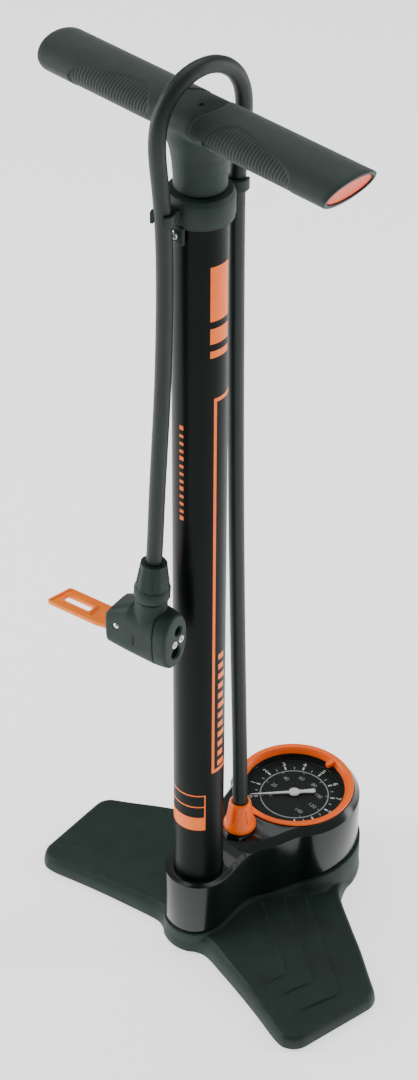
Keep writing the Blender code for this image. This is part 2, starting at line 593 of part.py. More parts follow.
def make_lever():
    """The lever turns on a pin across the head; its origin is on the pin's axis."""
    bm = bmesh.new()
    bmesh.ops.create_cube(bm, size=1.0)
    near = -16.4
    bmesh.ops.scale(bm, vec=Vector((near - LEVER_TIP, 19.4, LEVER_THICK)) * MM, verts=bm.verts)
    bmesh.ops.translate(bm, vec=Vector(((near + LEVER_TIP) / 2 - PIVOT_U, 0, LEVER_Z - PIVOT_Z)) * MM,
                        verts=bm.verts)
    for vertex in bm.verts:     # the far corner of the tip is cut back
        if vertex.co.x < -0.03 and vertex.co.y > 0:
            vertex.co.x += 5.0 * MM
    lever = from_bmesh("head_lever", bm, LEVER, smooth=False)
    lever.location = Vector(head_point(PIVOT_U, 0, PIVOT_Z)) * MM
    lever.rotation_euler.z = radians(HEAD_YAW)
    link = block("lever_link", head_point(PIVOT_U + 0.2, 0, (LEVER_Z + PIVOT_Z) / 2),
                 (7.0, 19.0, PIVOT_Z - LEVER_Z), None, yaw=HEAD_YAW)
    barrel = rod("lever_eye", head_point(PIVOT_U, -9.6, PIVOT_Z), head_point(PIVOT_U, 9.6, PIVOT_Z), 4.5, None, 24)
    join(lever, link, barrel)
    cut(lever, rod("eye_way", head_point(PIVOT_U, -20, PIVOT_Z), head_point(PIVOT_U, 20, PIVOT_Z),
                   2.2, None, 16))
    cut(lever, block("lever_window", head_point(-60.0, 0, LEVER_Z), (22.0, 6.4, 20), None, yaw=HEAD_YAW))


# ---------------------------------------------------------------- build
clear_scene()
PUMP = collection("floor_bike_pump")
CUTTERS = collection("cutters")
TEXTURED = material("textured black polypropylene", (0.036, 0.045, 0.043), 0.62)
GLOSS = material("gloss black abs", (0.018, 0.022, 0.021), 0.16)
GRIP = material("soft black grip", (0.034, 0.042, 0.040), 0.68)
BARREL_PAINT = material("satin black enamel", (0.012, 0.014, 0.013), 0.30)
HOSE_RUBBER = material("black hose rubber", (0.028, 0.034, 0.032), 0.55)
RUBBER = material("black seal rubber", (0.02, 0.02, 0.02), 0.7)
NYLON = material("natural nylon", (0.55, 0.54, 0.50), 0.45)
ORANGE = material("orange abs", (0.95, 0.20, 0.02), 0.35)
LEVER = material("orange nylon", (0.96, 0.25, 0.02), 0.40)
CORAL = material("coral end cap", (0.80, 0.15, 0.06), 0.45)
WHITE = material("white print", (0.85, 0.86, 0.86), 0.40)
DIAL = material("dark dial", (0.06, 0.08, 0.08), 0.60)
CLEAR = material("clear acrylic", (0.9, 0.95, 0.95), 0.05, alpha=0.3)
STEEL = material("zinc plated steel", (0.55, 0.56, 0.57), 0.35, 1.0)
CHROME = material("chromed steel", (0.75, 0.76, 0.78), 0.12, 1.0)
ALLOY = material("cast alloy", (0.45, 0.46, 0.47), 0.50, 1.0)
BRASS = material("brass", (0.60, 0.42, 0.16), 0.35, 1.0)

make_base()
make_cover()
make_air_path()
make_gauge()
make_collar()
make_handle()
make_rod()
make_hose()
make_head()
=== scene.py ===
"""Floor bike pump: the finished look of every piece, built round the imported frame.

Each operator makes one piece, or one group of like pieces, in millimetres in the pump's own frame:
+Z up the barrel, +X along the handle, +Y from the barrel to the gauge.
"""
import json
from math import ceil, cos, hypot, pi, radians, sin

import bmesh
import bpy
from bpy.props import FloatProperty, FloatVectorProperty, IntProperty, PointerProperty
from mathutils import Matrix, Vector


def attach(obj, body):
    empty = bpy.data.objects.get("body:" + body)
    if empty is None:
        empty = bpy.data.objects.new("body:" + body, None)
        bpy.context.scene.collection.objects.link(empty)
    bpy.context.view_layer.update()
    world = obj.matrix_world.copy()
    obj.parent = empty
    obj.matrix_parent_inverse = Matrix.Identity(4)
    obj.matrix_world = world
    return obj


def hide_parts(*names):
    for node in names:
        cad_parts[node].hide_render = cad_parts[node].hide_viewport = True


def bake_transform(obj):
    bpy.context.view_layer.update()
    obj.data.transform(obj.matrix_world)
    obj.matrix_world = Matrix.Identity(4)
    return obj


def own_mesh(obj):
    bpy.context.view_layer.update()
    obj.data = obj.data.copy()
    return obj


bl_info = {
    "name": "Floor bike pump",
    "version": (1, 0, 0),
    "blender": (4, 5, 0),
    "location": "3D View > Sidebar > Pump",
    "description": "Makes a floor bike pump with a gauge, a looped hose and a lever valve head",
    "category": "Add Mesh",
}

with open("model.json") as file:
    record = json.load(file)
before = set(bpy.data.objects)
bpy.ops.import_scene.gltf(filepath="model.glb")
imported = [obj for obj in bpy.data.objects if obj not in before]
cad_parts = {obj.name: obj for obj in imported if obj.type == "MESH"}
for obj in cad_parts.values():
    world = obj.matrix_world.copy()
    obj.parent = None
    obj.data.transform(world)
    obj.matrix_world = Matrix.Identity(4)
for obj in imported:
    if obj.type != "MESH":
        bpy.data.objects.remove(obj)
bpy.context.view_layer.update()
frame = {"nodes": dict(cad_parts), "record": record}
MM = 0.001
ROUND = 96                      # faces round a turned piece
RELAX_PASSES = 36               # evens out the hose's bend

PIECES = bpy.data.collections.new("pump_pieces")
bpy.context.scene.collection.children.link(PIECES)


# ---------------------------------------------------------------- colours and finishes
def hex_colour(code):
    """sRGB hex to the linear colour that a shader reads."""
    channels = [int(code[i:i + 2], 16) / 255 for i in (1, 3, 5)]
    return tuple(c / 12.92 if c <= 0.04045 else ((c + 0.055) / 1.055) ** 2.4 for c in channels)


def add_node(tree, kind, settings=None, **links):
    """Adds a node; settings go on the node or its sockets, and links name its input sockets."""
    node = tree.nodes.new(kind)
    for key, value in (settings or {}).items():
        if key in node.inputs:
            node.inputs[key].default_value = value
        else:
            setattr(node, key, value)
    for key, source in links.items():
        socket = node.inputs[int(key[1:])] if key[0] == "i" and key[1:].isdigit() \
            else node.inputs[key.replace("_", " ")]
        tree.links.new(source, socket)
    return node


def new_finish(name):
    """An empty node material, its shader and its object coordinates in metres."""
    finish = bpy.data.materials.new(name)
    finish.use_nodes = True
    tree = finish.node_tree
    shader = tree.nodes["Principled BSDF"]
    place = add_node(tree, "ShaderNodeTexCoord").outputs["Object"]
    return finish, tree, shader, place


def set_shader(shader, **values):
    for key, value in values.items():
        shader.inputs[key.replace("_", " ")].default_value = value


def grain(tree, place, size_mm, detail=2.0, roughness=0.5):
    """A noise whose spots are about size_mm across."""
    return add_node(tree, "ShaderNodeTexNoise",
                    {"Scale": 1.0 / (size_mm * MM), "Detail": detail, "Roughness": roughness},
                    Vector=place).outputs["Fac"]


def tint(tree, factor, dark, light, low=0.35, high=0.65):
    """Turns a factor into a colour between two tints."""
    ramp = add_node(tree, "ShaderNodeValToRGB", None, Fac=factor)
    ramp.color_ramp.elements[0].position = low
    ramp.color_ramp.elements[1].position = high
    ramp.color_ramp.elements[0].color = (*hex_colour(dark), 1.0)
    ramp.color_ramp.elements[1].color = (*hex_colour(light), 1.0)
    return ramp.outputs["Color"]


def levels(tree, factor, low, high):
    """Stretches a 0 to 1 factor over a range of roughness."""
    return add_node(tree, "ShaderNodeMapRange", {"To Min": low, "To Max": high},
                    Value=factor).outputs["Result"]


def relief(tree, shader, height, depth_mm):
    bump = add_node(tree, "ShaderNodeBump", {"Strength": 1.0, "Distance": depth_mm * MM},
                    Height=height)
    tree.links.new(bump.outputs["Normal"], shader.inputs["Normal"])


def moulded_plastic(name, dark, light, rough, texture_mm, depth_mm, ior=1.49, patch_mm=22.0):
    """Injection-moulded plastic: a fine etched grain, with slow drifts of tint and polish."""
    finish, tree, shader, place = new_finish(name)
    set_shader(shader, IOR=ior, Specular_IOR_Level=0.3)
    drift = grain(tree, place, patch_mm, 3.0)
    tree.links.new(tint(tree, drift, dark, light), shader.inputs["Base Color"])
    tree.links.new(levels(tree, grain(tree, place, patch_mm * 0.4), *rough), shader.inputs["Roughness"])
    relief(tree, shader, grain(tree, place, texture_mm, 1.0), depth_mm)
    return finish


def textured_polypropylene():
    """Spark-eroded mould: an even fine grain that breaks every highlight into a soft sheen."""
    # The real grain is about 0.15 mm; it is drawn at 0.7 mm so that it shows.
    return moulded_plastic("spark_eroded_polypropylene", "#11231E", "#162A25", (0.52, 0.64), 0.7, 0.16)


def gloss_abs():
    """Polished mould: crisp reflections that waver a little with the sink of the wall."""
    finish, tree, shader, place = new_finish("polished_abs")
    set_shader(shader, IOR=1.53, Specular_IOR_Level=0.35)
    tree.links.new(tint(tree, grain(tree, place, 30.0), "#081210", "#0B1613"), shader.inputs["Base Color"])
    tree.links.new(levels(tree, grain(tree, place, 6.0, 4.0), 0.16, 0.24), shader.inputs["Roughness"])
    relief(tree, shader, grain(tree, place, 9.0), 0.05)
    return finish


def soft_grip_rubber():
    """Thermoplastic rubber over a hard core: matt, slightly dusty, with a faint pebble."""
    finish = moulded_plastic("overmoulded_soft_rubber", "#10211D", "#152823", (0.56, 0.68), 0.6, 0.08)
    set_shader(finish.node_tree.nodes["Principled BSDF"], Sheen_Weight=0.12, Sheen_Roughness=0.5)
    return finish


def barrel_enamel():
    """Powder enamel on drawn steel tube: smooth satin with a faint orange-peel ripple."""
    finish, tree, shader, place = new_finish("satin_powder_enamel")
    set_shader(shader, IOR=1.5, Specular_IOR_Level=0.1)
    tree.links.new(tint(tree, grain(tree, place, 40.0), "#010605", "#030A08"), shader.inputs["Base Color"])
    tree.links.new(levels(tree, grain(tree, place, 5.0, 3.0), 0.32, 0.40), shader.inputs["Roughness"])
    relief(tree, shader, grain(tree, place, 2.2, 1.0), 0.02)
    return finish


def hose_rubber():
    """Extruded rubber hose: matt, with long faint drag lines and a little bloom."""
    finish, tree, shader, place = new_finish("extruded_hose_rubber")
    set_shader(shader, IOR=1.5, Specular_IOR_Level=0.35)
    long_way = add_node(tree, "ShaderNodeMapping", {"Scale": (1.0, 1.0, 0.08)},
                        Vector=place).outputs["Vector"]
    tree.links.new(tint(tree, grain(tree, long_way, 2.5, 3.0), "#0C1916", "#111F1B"),
                   shader.inputs["Base Color"])
    tree.links.new(levels(tree, grain(tree, place, 4.0, 2.0), 0.42, 0.56), shader.inputs["Roughness"])
    relief(tree, shader, grain(tree, long_way, 0.9, 1.0), 0.04)
    return finish


def seal_rubber():
    """Moulded nitrile: dull black with a fine dusty grain."""
    return moulded_plastic("moulded_nitrile", "#151818", "#1D2120", (0.62, 0.78), 0.5, 0.05, 1.5, 6.0)


def natural_nylon():
    """Natural nylon: milky off-white, waxy and a little uneven."""
    finish = moulded_plastic("natural_nylon", "#CFCBBD", "#DCD8CB", (0.38, 0.50), 0.8, 0.03, 1.53, 8.0)
    set_shader(finish.node_tree.nodes["Principled BSDF"], Subsurface_Weight=0.08, Subsurface_Scale=0.002)
    return finish


def orange_abs():
    """Self-coloured orange plastic, satin from a lightly polished mould."""
    return moulded_plastic("satin_orange_abs", "#FF5E00", "#FF6A00", (0.26, 0.36), 0.9, 0.03, 1.53, 12.0)


def lever_nylon():
    """Glass-filled orange nylon: warmer and duller than the bezel, with a dry grain."""
    finish = moulded_plastic("glass_filled_orange_nylon", "#FF7600", "#FF8200", (0.38, 0.50), 0.7, 0.05,
                             1.53, 9.0)
    set_shader(finish.node_tree.nodes["Principled BSDF"], Subsurface_Weight=0.06, Subsurface_Scale=0.001)
    return finish


def coral_plastic():
    """Pressed-in end plug: coral plastic with an even satin face."""
    return moulded_plastic("satin_coral_abs", "#E6441C", "#EE5024", (0.36, 0.46), 0.8, 0.04, 1.53, 10.0)


def white_print():
    """Screen-printed white ink and the white enamelled needle."""
    return moulded_plastic("white_ink", "#E4E8E7", "#F2F4F3", (0.45, 0.55), 0.5, 0.01, 1.5, 4.0)


def grey_print():
    """The dial's second scale, printed in a greyer ink."""
    return moulded_plastic("grey_ink", "#93A5A3", "#A3B4B1", (0.5, 0.6), 0.5, 0.01, 1.5, 4.0)


def orange_print():
    """Screen-printed orange ink on the barrel, thin enough for its edge to stay flat."""
    return moulded_plastic("orange_ink", "#FF6A00", "#FF7600", (0.30, 0.40), 1.2, 0.01, 1.5, 6.0)


def dial_card():
    """Painted dial plate: flat charcoal with a soft mottled print."""
    return moulded_plastic("matt_dial_paint", "#0D1715", "#101B19", (0.60, 0.72), 0.5, 0.003, 1.5, 14.0)


def clear_acrylic():
    """Clear moulded lens: a faint dark film with a soft sheen, see-through by its low alpha."""
    finish, tree, shader, place = new_finish("clear_acrylic")
    set_shader(shader, Base_Color=(0.01, 0.01, 0.01, 1.0), IOR=1.49, Alpha=0.1)
    tree.links.new(levels(tree, grain(tree, place, 14.0), 0.02, 0.05), shader.inputs["Roughness"])
    return finish


def metal(name, dark, light, rough, grain_mm, depth_mm, stretch=(1.0, 1.0, 1.0)):
    """Bare or plated metal with marks that run the way it was worked."""
    finish, tree, shader, place = new_finish(name)
    set_shader(shader, Metallic=1.0)
    worked = add_node(tree, "ShaderNodeMapping", {"Scale": stretch}, Vector=place).outputs["Vector"]
    marks = grain(tree, worked, grain_mm, 2.0)
    tree.links.new(tint(tree, marks, dark, light), shader.inputs["Base Color"])
    tree.links.new(levels(tree, marks, *rough), shader.inputs["Roughness"])
    relief(tree, shader, marks, depth_mm)
    return finish


def zinc_steel():
    """Zinc-plated steel: cool grey with a faint spangle."""
    return metal("zinc_plated_steel", "#A9ADAE", "#BCC0C1", (0.26, 0.38), 0.9, 0.01)


def chromed_steel():
    """Chromed bar: bright, with the fine rings of centreless grinding."""
    return metal("chromed_steel", "#C9CDD0", "#DDE0E2", (0.08, 0.16), 0.8, 0.004, (0.1, 0.1, 1.0))


def cast_alloy():
    """Die-cast aluminium: pale grey, slightly rough where it is not machined."""
    return metal("die_cast_aluminium", "#A3A7A8", "#B9BDBE", (0.42, 0.58), 0.7, 0.05)


def turned_brass():
    """Turned brass: yellow, with fine rings from the tool."""
    return metal("turned_brass", "#B8923F", "#CDA955", (0.22, 0.34), 0.5, 0.01, (0.2, 0.2, 1.0))


FINISHES = {
    "textured_plastic": textured_polypropylene, "gloss_plastic": gloss_abs, "grip": soft_grip_rubber,
    "barrel_enamel": barrel_enamel, "hose_rubber": hose_rubber, "seal_rubber": seal_rubber,
    "nylon": natural_nylon, "orange_plastic": orange_abs, "lever_plastic": lever_nylon,
    "coral_plastic": coral_plastic, "white_plastic": white_print, "dial": dial_card,
    "clear_lens": clear_acrylic, "zinc_steel": zinc_steel, "chromed_steel": chromed_steel,
    "cast_alloy": cast_alloy, "brass": turned_brass,
}
INKS = {"grey_ink": (grey_print, "white_plastic"), "orange_ink": (orange_print, "orange_plastic")}
MADE = {}


def finish_for(slot):
    """Makes each finish once."""
    if slot not in MADE:
        MADE[slot] = INKS[slot][0]() if slot in INKS else FINISHES[slot]()
    return MADE[slot]


# ---------------------------------------------------------------- shaping, in millimetres
def lathe(profile, at=(0.0, 0.0), steps=ROUND):
    """Spins a closed (radius, height) profile round a vertical axis."""
    bm = bmesh.new()
    corners = [bm.verts.new((r, 0, z)) for r, z in profile]
    edges = [bm.edges.new(pair) for pair in zip(corners, corners[1:] + corners[:1])
             if pair[0].co.x + pair[1].co.x > 0]
    bmesh.ops.spin(bm, geom=corners + edges, cent=(0, 0, 0), axis=(0, 0, 1), angle=2 * pi,
                   steps=steps, use_merge=True)
    bmesh.ops.remove_doubles(bm, verts=bm.verts, dist=0.001)
    bmesh.ops.translate(bm, vec=(at[0], at[1], 0), verts=bm.verts)
    return bm


def open_ring(profile, start, sweep, steps=40):
    """Spins a (radius, height) profile part of the way round, and closes both ends."""
    bm = bmesh.new()
    corners = [bm.verts.new((r * cos(start), r * sin(start), z)) for r, z in profile]
    edges = [bm.edges.new(pair) for pair in zip(corners, corners[1:] + corners[:1])]
    bmesh.ops.spin(bm, geom=corners + edges, cent=(0, 0, 0), axis=(0, 0, 1), angle=sweep, steps=steps)
    bmesh.ops.holes_fill(bm, edges=[e for e in bm.edges if e.is_boundary])
    return bm


def drum(radius, z0, z1, at=(0.0, 0.0), top_radius=None, steps=ROUND):
    bm = bmesh.new()
    bmesh.ops.create_cone(bm, cap_ends=True, segments=steps, radius1=radius,
                          radius2=radius if top_radius is None else top_radius, depth=z1 - z0)
    bmesh.ops.translate(bm, vec=(at[0], at[1], (z0 + z1) / 2), verts=bm.verts)
    return bm


def bar(start, end, radius, steps=48, end_radius=None):
    """A round bar between two points."""
    a, b = Vector(start), Vector(end)
    bm = drum(radius, 0, (b - a).length, top_radius=end_radius, steps=steps)
    turn = (b - a).to_track_quat("Z", "Y").to_matrix().to_4x4()
    bmesh.ops.transform(bm, matrix=Matrix.Translation(a) @ turn, verts=bm.verts)
    return bm


def brick(centre, size, yaw=0.0, round_by=0.0, segments=3):
    bm = bmesh.new()
    bmesh.ops.create_cube(bm, size=1.0)
    bmesh.ops.scale(bm, vec=size, verts=bm.verts)
    if round_by:
        bmesh.ops.bevel(bm, geom=bm.edges[:], offset=round_by, affect="EDGES", segments=segments,
                        profile=0.5, material=-1)
    turn = Matrix.Translation(centre) @ Matrix.Rotation(radians(yaw), 4, "Z")
    bmesh.ops.transform(bm, matrix=turn, verts=bm.verts)
    return bm


def loft(rings, closed=False):
    """Bridges a row of matching outlines and closes both ends, or joins the last to the first."""
    bm = bmesh.new()
    loops = []
    for outline in rings:
        corners = [bm.verts.new(p) for p in outline]
        loops.append([bm.edges.new(pair) for pair in zip(corners, corners[1:] + corners[:1])])
    for lower, upper in zip(loops, loops[1:] + (loops[:1] if closed else [])):
        bmesh.ops.bridge_loops(bm, edges=lower + upper)
    if not closed:
        for loop in (loops[0], loops[-1]):
            bmesh.ops.contextual_create(bm, geom=loop)
    return bm


def merge(*shapes):
    """Puts several shapes into one."""
    whole = bmesh.new()
    for shape in shapes:
        part = bpy.data.meshes.new("part")
        shape.to_mesh(part)
        shape.free()
        whole.from_mesh(part)
        bpy.data.meshes.remove(part)
    return whole


def worked(shape, steps):
    """Runs modifiers on a shape and hands back the result; each step is (kind, settings, tool)."""
    objects = []

    def as_object(bm):
        bmesh.ops.recalc_face_normals(bm, faces=bm.faces)
        mesh = bpy.data.meshes.new("working")
        bm.to_mesh(mesh)
        bm.free()
        objects.append(bpy.data.objects.new("working", mesh))
        bpy.context.scene.collection.objects.link(objects[-1])
        return objects[-1]

    body = as_object(shape)
    for kind, settings, tool in steps:
        step = body.modifiers.new(kind, kind)
        for key, value in settings.items():
            setattr(step, key, value)
        if tool:
            step.object = as_object(tool)
    result = bmesh.new()
    result.from_mesh(body.evaluated_get(bpy.context.evaluated_depsgraph_get()).to_mesh())
    for obj in objects:
        mesh = obj.data
        bpy.data.objects.remove(obj)
        bpy.data.meshes.remove(mesh)
    return result


def carve(shape, *tools):
    return worked(shape, [("BOOLEAN", {"operation": "DIFFERENCE"}, tool) for tool in tools])


def fuse(shape, *tools):
    return worked(shape, [("BOOLEAN", {"operation": "UNION"}, tool) for tool in tools])


def melt(shape, voxel, passes):
    """Rounds every edge of a shape as a mould does: remeshed on a fine grid, then smoothed."""
    soft = worked(shape, [("REMESH", {"mode": "VOXEL", "voxel_size": voxel}, None)])
    for _ in range(passes):
        bmesh.ops.smooth_vert(soft, verts=soft.verts, factor=0.5, use_axis_x=True, use_axis_y=True,
                              use_axis_z=True)
    return soft


def piece(name, shape, slot, body, stands_for=(), bevel=0.0, sharp=32.0, segments=2):
    """Turns a shape in millimetres into a named piece that rides on a body."""
    bmesh.ops.remove_doubles(shape, verts=shape.verts, dist=0.0005)
    bmesh.ops.recalc_face_normals(shape, faces=shape.faces)
    bmesh.ops.scale(shape, vec=(MM, MM, MM), verts=shape.verts)
    mesh = bpy.data.meshes.new(name)
    shape.to_mesh(mesh)
    shape.free()
    mesh.shade_smooth()
    mesh.set_sharp_from_angle(angle=radians(sharp))
    mesh.materials.append(finish_for(slot))
    obj = bpy.data.objects.new(name, mesh)
    PIECES.objects.link(obj)
    if bevel:
        edge = obj.modifiers.new("Edge radius", "BEVEL")
        edge.width = bevel * MM
        edge.segments = segments
        edge.limit_method = "ANGLE"
        edge.angle_limit = radians(sharp)
        edge.harden_normals = True
    if stands_for:
        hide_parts(*stands_for)
    if body:
        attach(obj, body)
    return obj


def arc(cx, cy, radius, start, end, count):
    """Points on an arc, in degrees from +X, ends included."""
    turns = [radians(start + (end - start) * i / count) for i in range(count + 1)]
    return [(cx + radius * cos(a), cy + radius * sin(a)) for a in turns]


def smooth_route(points, spacing, closed=False):
    """Reads a Catmull-Rom curve through points at about the given spacing."""
    pts = [Vector(p) for p in points]
    if closed:
        pts = [pts[-1]] + pts + pts[:2]
    else:
        pts = [2 * pts[0] - pts[1]] + pts + [2 * pts[-1] - pts[-2]]
    route = [pts[1]]
    for p0, p1, p2, p3 in zip(pts, pts[1:], pts[2:], pts[3:]):
        count = max(1, ceil((p2 - p1).length / spacing))
        for k in range(1, count + 1):
            t = k / count
            route.append(0.5 * (2 * p1 + (p2 - p0) * t + (2 * p0 - 5 * p1 + 4 * p2 - p3) * t * t
                                + (3 * p1 - p0 - 3 * p2 + p3) * t ** 3))
    return route[:-1] if closed else route


def inset_loop(loop, distance):
    """Moves an anticlockwise outline inwards along its own normals."""
    moved = []
    for i, (x, y) in enumerate(loop):
        (x0, y0), (x1, y1) = loop[i - 1], loop[(i + 1) % len(loop)]
        size = hypot(x1 - x0, y1 - y0)
        moved.append((x - (y1 - y0) / size * distance, y + (x1 - x0) / size * distance))
    return moved


def ease(low, high, value):
    t = min(1.0, max(0.0, (value - low) / (high - low)))
    return t * t * (3 - 2 * t)


def between(stops, value):
    """Reads a straight-line chart of (place, height) stops."""
    for (a, low), (b, high) in zip(stops, stops[1:]):
        if value <= b:
            return low + (high - low) * max(0.0, value - a) / (b - a)
    return stops[-1][1]


def length(label, millimetres, about):
    """A size property, stored in metres."""
    return FloatProperty(name=label, description=about, default=millimetres * MM, precision=5,
                         subtype="DISTANCE", unit="LENGTH")


def colour(label, code, about):
    return FloatVectorProperty(name=label, description=about, subtype="COLOR", size=3,
                               default=hex_colour(code), min=0.0, max=1.0)


# ---------------------------------------------------------------- settings
class StageSettings(bpy.types.PropertyGroup):
    floor: colour("Floor", "#FBFBFA", "Pale studio floor")
    sky: colour("Studio air", "#F4F7F7", "Soft light from all round")
    floor_glow: FloatProperty(name="Floor glow", description="Light of the shooting table from below",
                              default=1.1, min=0.0)
    sky_strength: FloatProperty(name="Fill", description="Strength of the light from all round",
                                default=0.5, min=0.0)
    key_power: FloatProperty(name="Left softbox", description="Power of the large softbox on the left",
                             default=34.0, unit="POWER")
    rim_power: FloatProperty(name="Right softbox", description="Power of the tall softbox on the right",
                             default=20.0, unit="POWER")
    top_power: FloatProperty(name="Top softbox", description="Power of the softbox overhead",
                             default=14.0, unit="POWER")
    lens: FloatProperty(name="Lens", description="Camera lens in millimetres", default=85.02)
    camera_pitch: FloatProperty(name="Camera pitch", description="How far the camera looks down",
                                default=radians(37.656), subtype="ANGLE")
    camera_turn: FloatProperty(name="Camera turn", description="Camera's turn round the pump",
                               default=radians(45.122), subtype="ANGLE")
    camera_roll: FloatProperty(name="Camera roll", description="Camera's tilt about its own axis",
                               default=radians(0.324), subtype="ANGLE")


class BaseSettings(bpy.types.PropertyGroup):
    barrel_radius: length("Barrel radius", 17.5, "Outside of the tube")
    barrel_foot: length("Barrel foot", 22.3, "Where the tube starts, above the floor")
    barrel_top: length("Barrel top", 604.0, "Where the tube ends")
    gauge_y: length("Gauge axis", 98.5, "From the barrel's axis to the gauge's")
    housing_radius: length("Housing radius", 48.0, "Cover round the gauge")
    cup_radius: length("Cup radius", 24.3, "Cover round the barrel")
    foot_height: length("Foot height", 12.0, "Thickness of the swept feet at their ends")
    tread_step: length("Tread step", 1.6, "Height of each terrace on the feet")


class GaugeSettings(bpy.types.PropertyGroup):
    dial_radius: length("Dial radius", 36.5, "Printed plate")
    circle_radius: length("Circle radius", 25.0, "Printed circle between the two scales")
    needle_tip: length("Needle tip", 33.0, "From the arbor to the point")
    needle_tail: length("Needle tail", 15.5, "From the arbor to the tail")
    zero: FloatProperty(name="Zero", description="Angle of zero on the dial, from +X",
                        default=radians(230.0), subtype="ANGLE")
    per_bar: FloatProperty(name="Step", description="Turn of the needle for one bar",
                           default=radians(27.6), subtype="ANGLE")
    bars: IntProperty(name="Full scale", description="Last number of the outer scale", default=10)
    marker: FloatProperty(name="Marker", description="Angle of the bezel's marker tab, from +X",
                          default=radians(86.0), subtype="ANGLE")


class HandleSettings(bpy.types.PropertyGroup):
    height: length("Bar height", 662.6, "Axis of the bar")
    half_depth: length("Half depth", 20.6, "Half width of the oval bar, front to back")
    half_thickness: length("Half thickness", 11.3, "Half height of the oval bar")
    half_length: length("Half length", 116.6, "From the middle to the end, on the axis")
    end_slant: FloatProperty(name="End slant", description="How far the ends lean out for their height",
                             default=0.52)
    rib_pitch: length("Rib pitch", 2.5, "Spacing of the grip's ribs")
    rib_depth: length("Rib depth", 0.32, "Depth of the grip's ribs")
    collar_radius: length("Collar radius", 21.0, "Collar on the barrel's top")
    clip_y: length("Clip place", 30.3, "From the barrel's axis to a hose clip")


class HoseSettings(bpy.types.PropertyGroup):
    radius: length("Hose radius", 5.25, "Outside of the hose")
    nut_y: length("Nut place", 41.6, "From the barrel's axis to the hose nut")
    rise_start: length("Rise start", 612.0, "Height where the hose starts to rise with the handle")
    rise_end: length("Rise end", 645.0, "Height above which the hose goes with the handle")


class HeadSettings(bpy.types.PropertyGroup):
    place: FloatVectorProperty(name="Place", description="Foot of the head's own axes", size=3,
                               default=(-1.3 * MM, -41.4 * MM, 0.0), subtype="TRANSLATION", precision=5)
    yaw: FloatProperty(name="Turn", description="Turn of the head about +Z", default=radians(10.5),
                       subtype="ANGLE")
    lean: FloatProperty(name="Sleeve lean", description="Lean of the sleeve towards the barrel",
                        default=radians(4.5), subtype="ANGLE")
    sleeve_foot: length("Sleeve foot", 333.4, "Height of the sleeve's lower end")
    face: length("Valve face", 18.8, "From the sleeve's axis to the valve face")
    seam: length("Seam", 9.0, "From the sleeve's axis to the cap's seam")
    rear: length("Rear", -29.2, "From the sleeve's axis to the rear face")
    half_width: length("Half width", 13.0, "Half width of the head")
    middle: length("Face middle", 304.3, "Height of the middle of the valve face")
    pin_u: length("Pin place", -20.1, "Lever pin, along the head")
    pin_z: length("Pin height", 307.7, "Lever pin, above the floor")
    lever_z: length("Lever height", 299.0, "Middle of the lever's plate")
    lever_tip: length("Lever tip", -79.0, "End of the lever, along the head")


def settings(group):
    return getattr(bpy.context.scene, "pump_" + group)


# ---------------------------------------------------------------- hose
HOSE_ROUTE = [                  # from the nut up behind the barrel, over the handle and down to the head
    (0, 41.6, 88), (0, 41.4, 108), (0, 40.6, 140), (0, 38.7, 197), (0, 36.8, 252), (0, 35.2, 305),
    (0, 33.6, 362), (0, 32.2, 430), (0, 31.2, 500), (0, 30.5, 560), (0, 30.3, 590), (0, 30.3, 608),
    (0, 31.5, 626), (0, 34.6, 644), (0, 36.6, 659), (0, 34.6, 673), (0, 27.4, 684.5), (0, 15.0, 692.6),
    (0, 0.0, 695.2), (0, -14.5, 692.8), (0, -26.5, 685.0), (0, -33.4, 673.5), (0, -35.6, 660.5),
    (0, -34.4, 646), (0, -32.0, 629), (0, -30.3, 610), (0, -29.6, 596), (0, -29.2, 570),
    (0, -30.0, 530), (0, -31.9, 486), (-0.5, -34.4, 444), (-0.9, -36.6, 408), (-1.2, -38.0, 376),
    (-1.3, -39.2, 361), (-1.3, -39.6, 356.3),
]


def tube(route, radius, roundness=6):
    """A filled tube along a route."""
    curve = bpy.data.curves.new("route", "CURVE")
    curve.dimensions = "3D"
    curve.bevel_depth = radius
    curve.bevel_resolution = roundness
    curve.use_fill_caps = True
    line = curve.splines.new("POLY")
    line.points.add(len(route) - 1)
    for point, place in zip(line.points, route):
        point.co = (*place, 1.0)
    obj = bpy.data.objects.new("route", curve)
    bpy.context.scene.collection.objects.link(obj)
    shape = bmesh.new()
    shape.from_mesh(obj.evaluated_get(bpy.context.evaluated_depsgraph_get()).to_mesh())
    bpy.data.objects.remove(obj)
    bpy.data.curves.remove(curve)
    return shape


class PUMP_OT_hose(bpy.types.Operator):
    """Adds the rubber hose, looped over the handle and held in both clips"""
    bl_idname = "pump.hose"
    bl_label = "Hose"

    def execute(self, context):
        s = settings("hose")
        route = smooth_route(HOSE_ROUTE, 3.0)
        for _ in range(RELAX_PASSES):    # rubber takes one even bend between its ends
            route[5:-5] = [(before + 2 * here + after) / 4
                           for before, here, after in zip(route[4:-6], route[5:-5], route[6:-4])]
        hose = piece("pressure_hose", tube(route, s.radius / MM), "hose_rubber", None, ["hose"])
        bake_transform(hose)
        return {"FINISHED"}


# ---------------------------------------------------------------- inner works
class PUMP_OT_valve_spring(bpy.types.Operator):
    """Adds the check valve's coil spring"""
    bl_idname = "pump.valve_spring"
    bl_label = "Valve spring"

    def execute(self, context):
        low, high, turns = 26.7, 31.1, 4
        route = [Vector((3.0 * cos(2 * pi * k / 24), 3.0 * sin(2 * pi * k / 24),
                         low + (high - low) * k / (24 * turns))) for k in range(24 * turns + 1)]
        spring = piece("valve_coil_spring", tube(route, 0.35, 2), "zinc_steel", "pump_stand",
                       ["check_valve_spring"], sharp=60)
        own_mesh(spring)
        return {"FINISHED"}


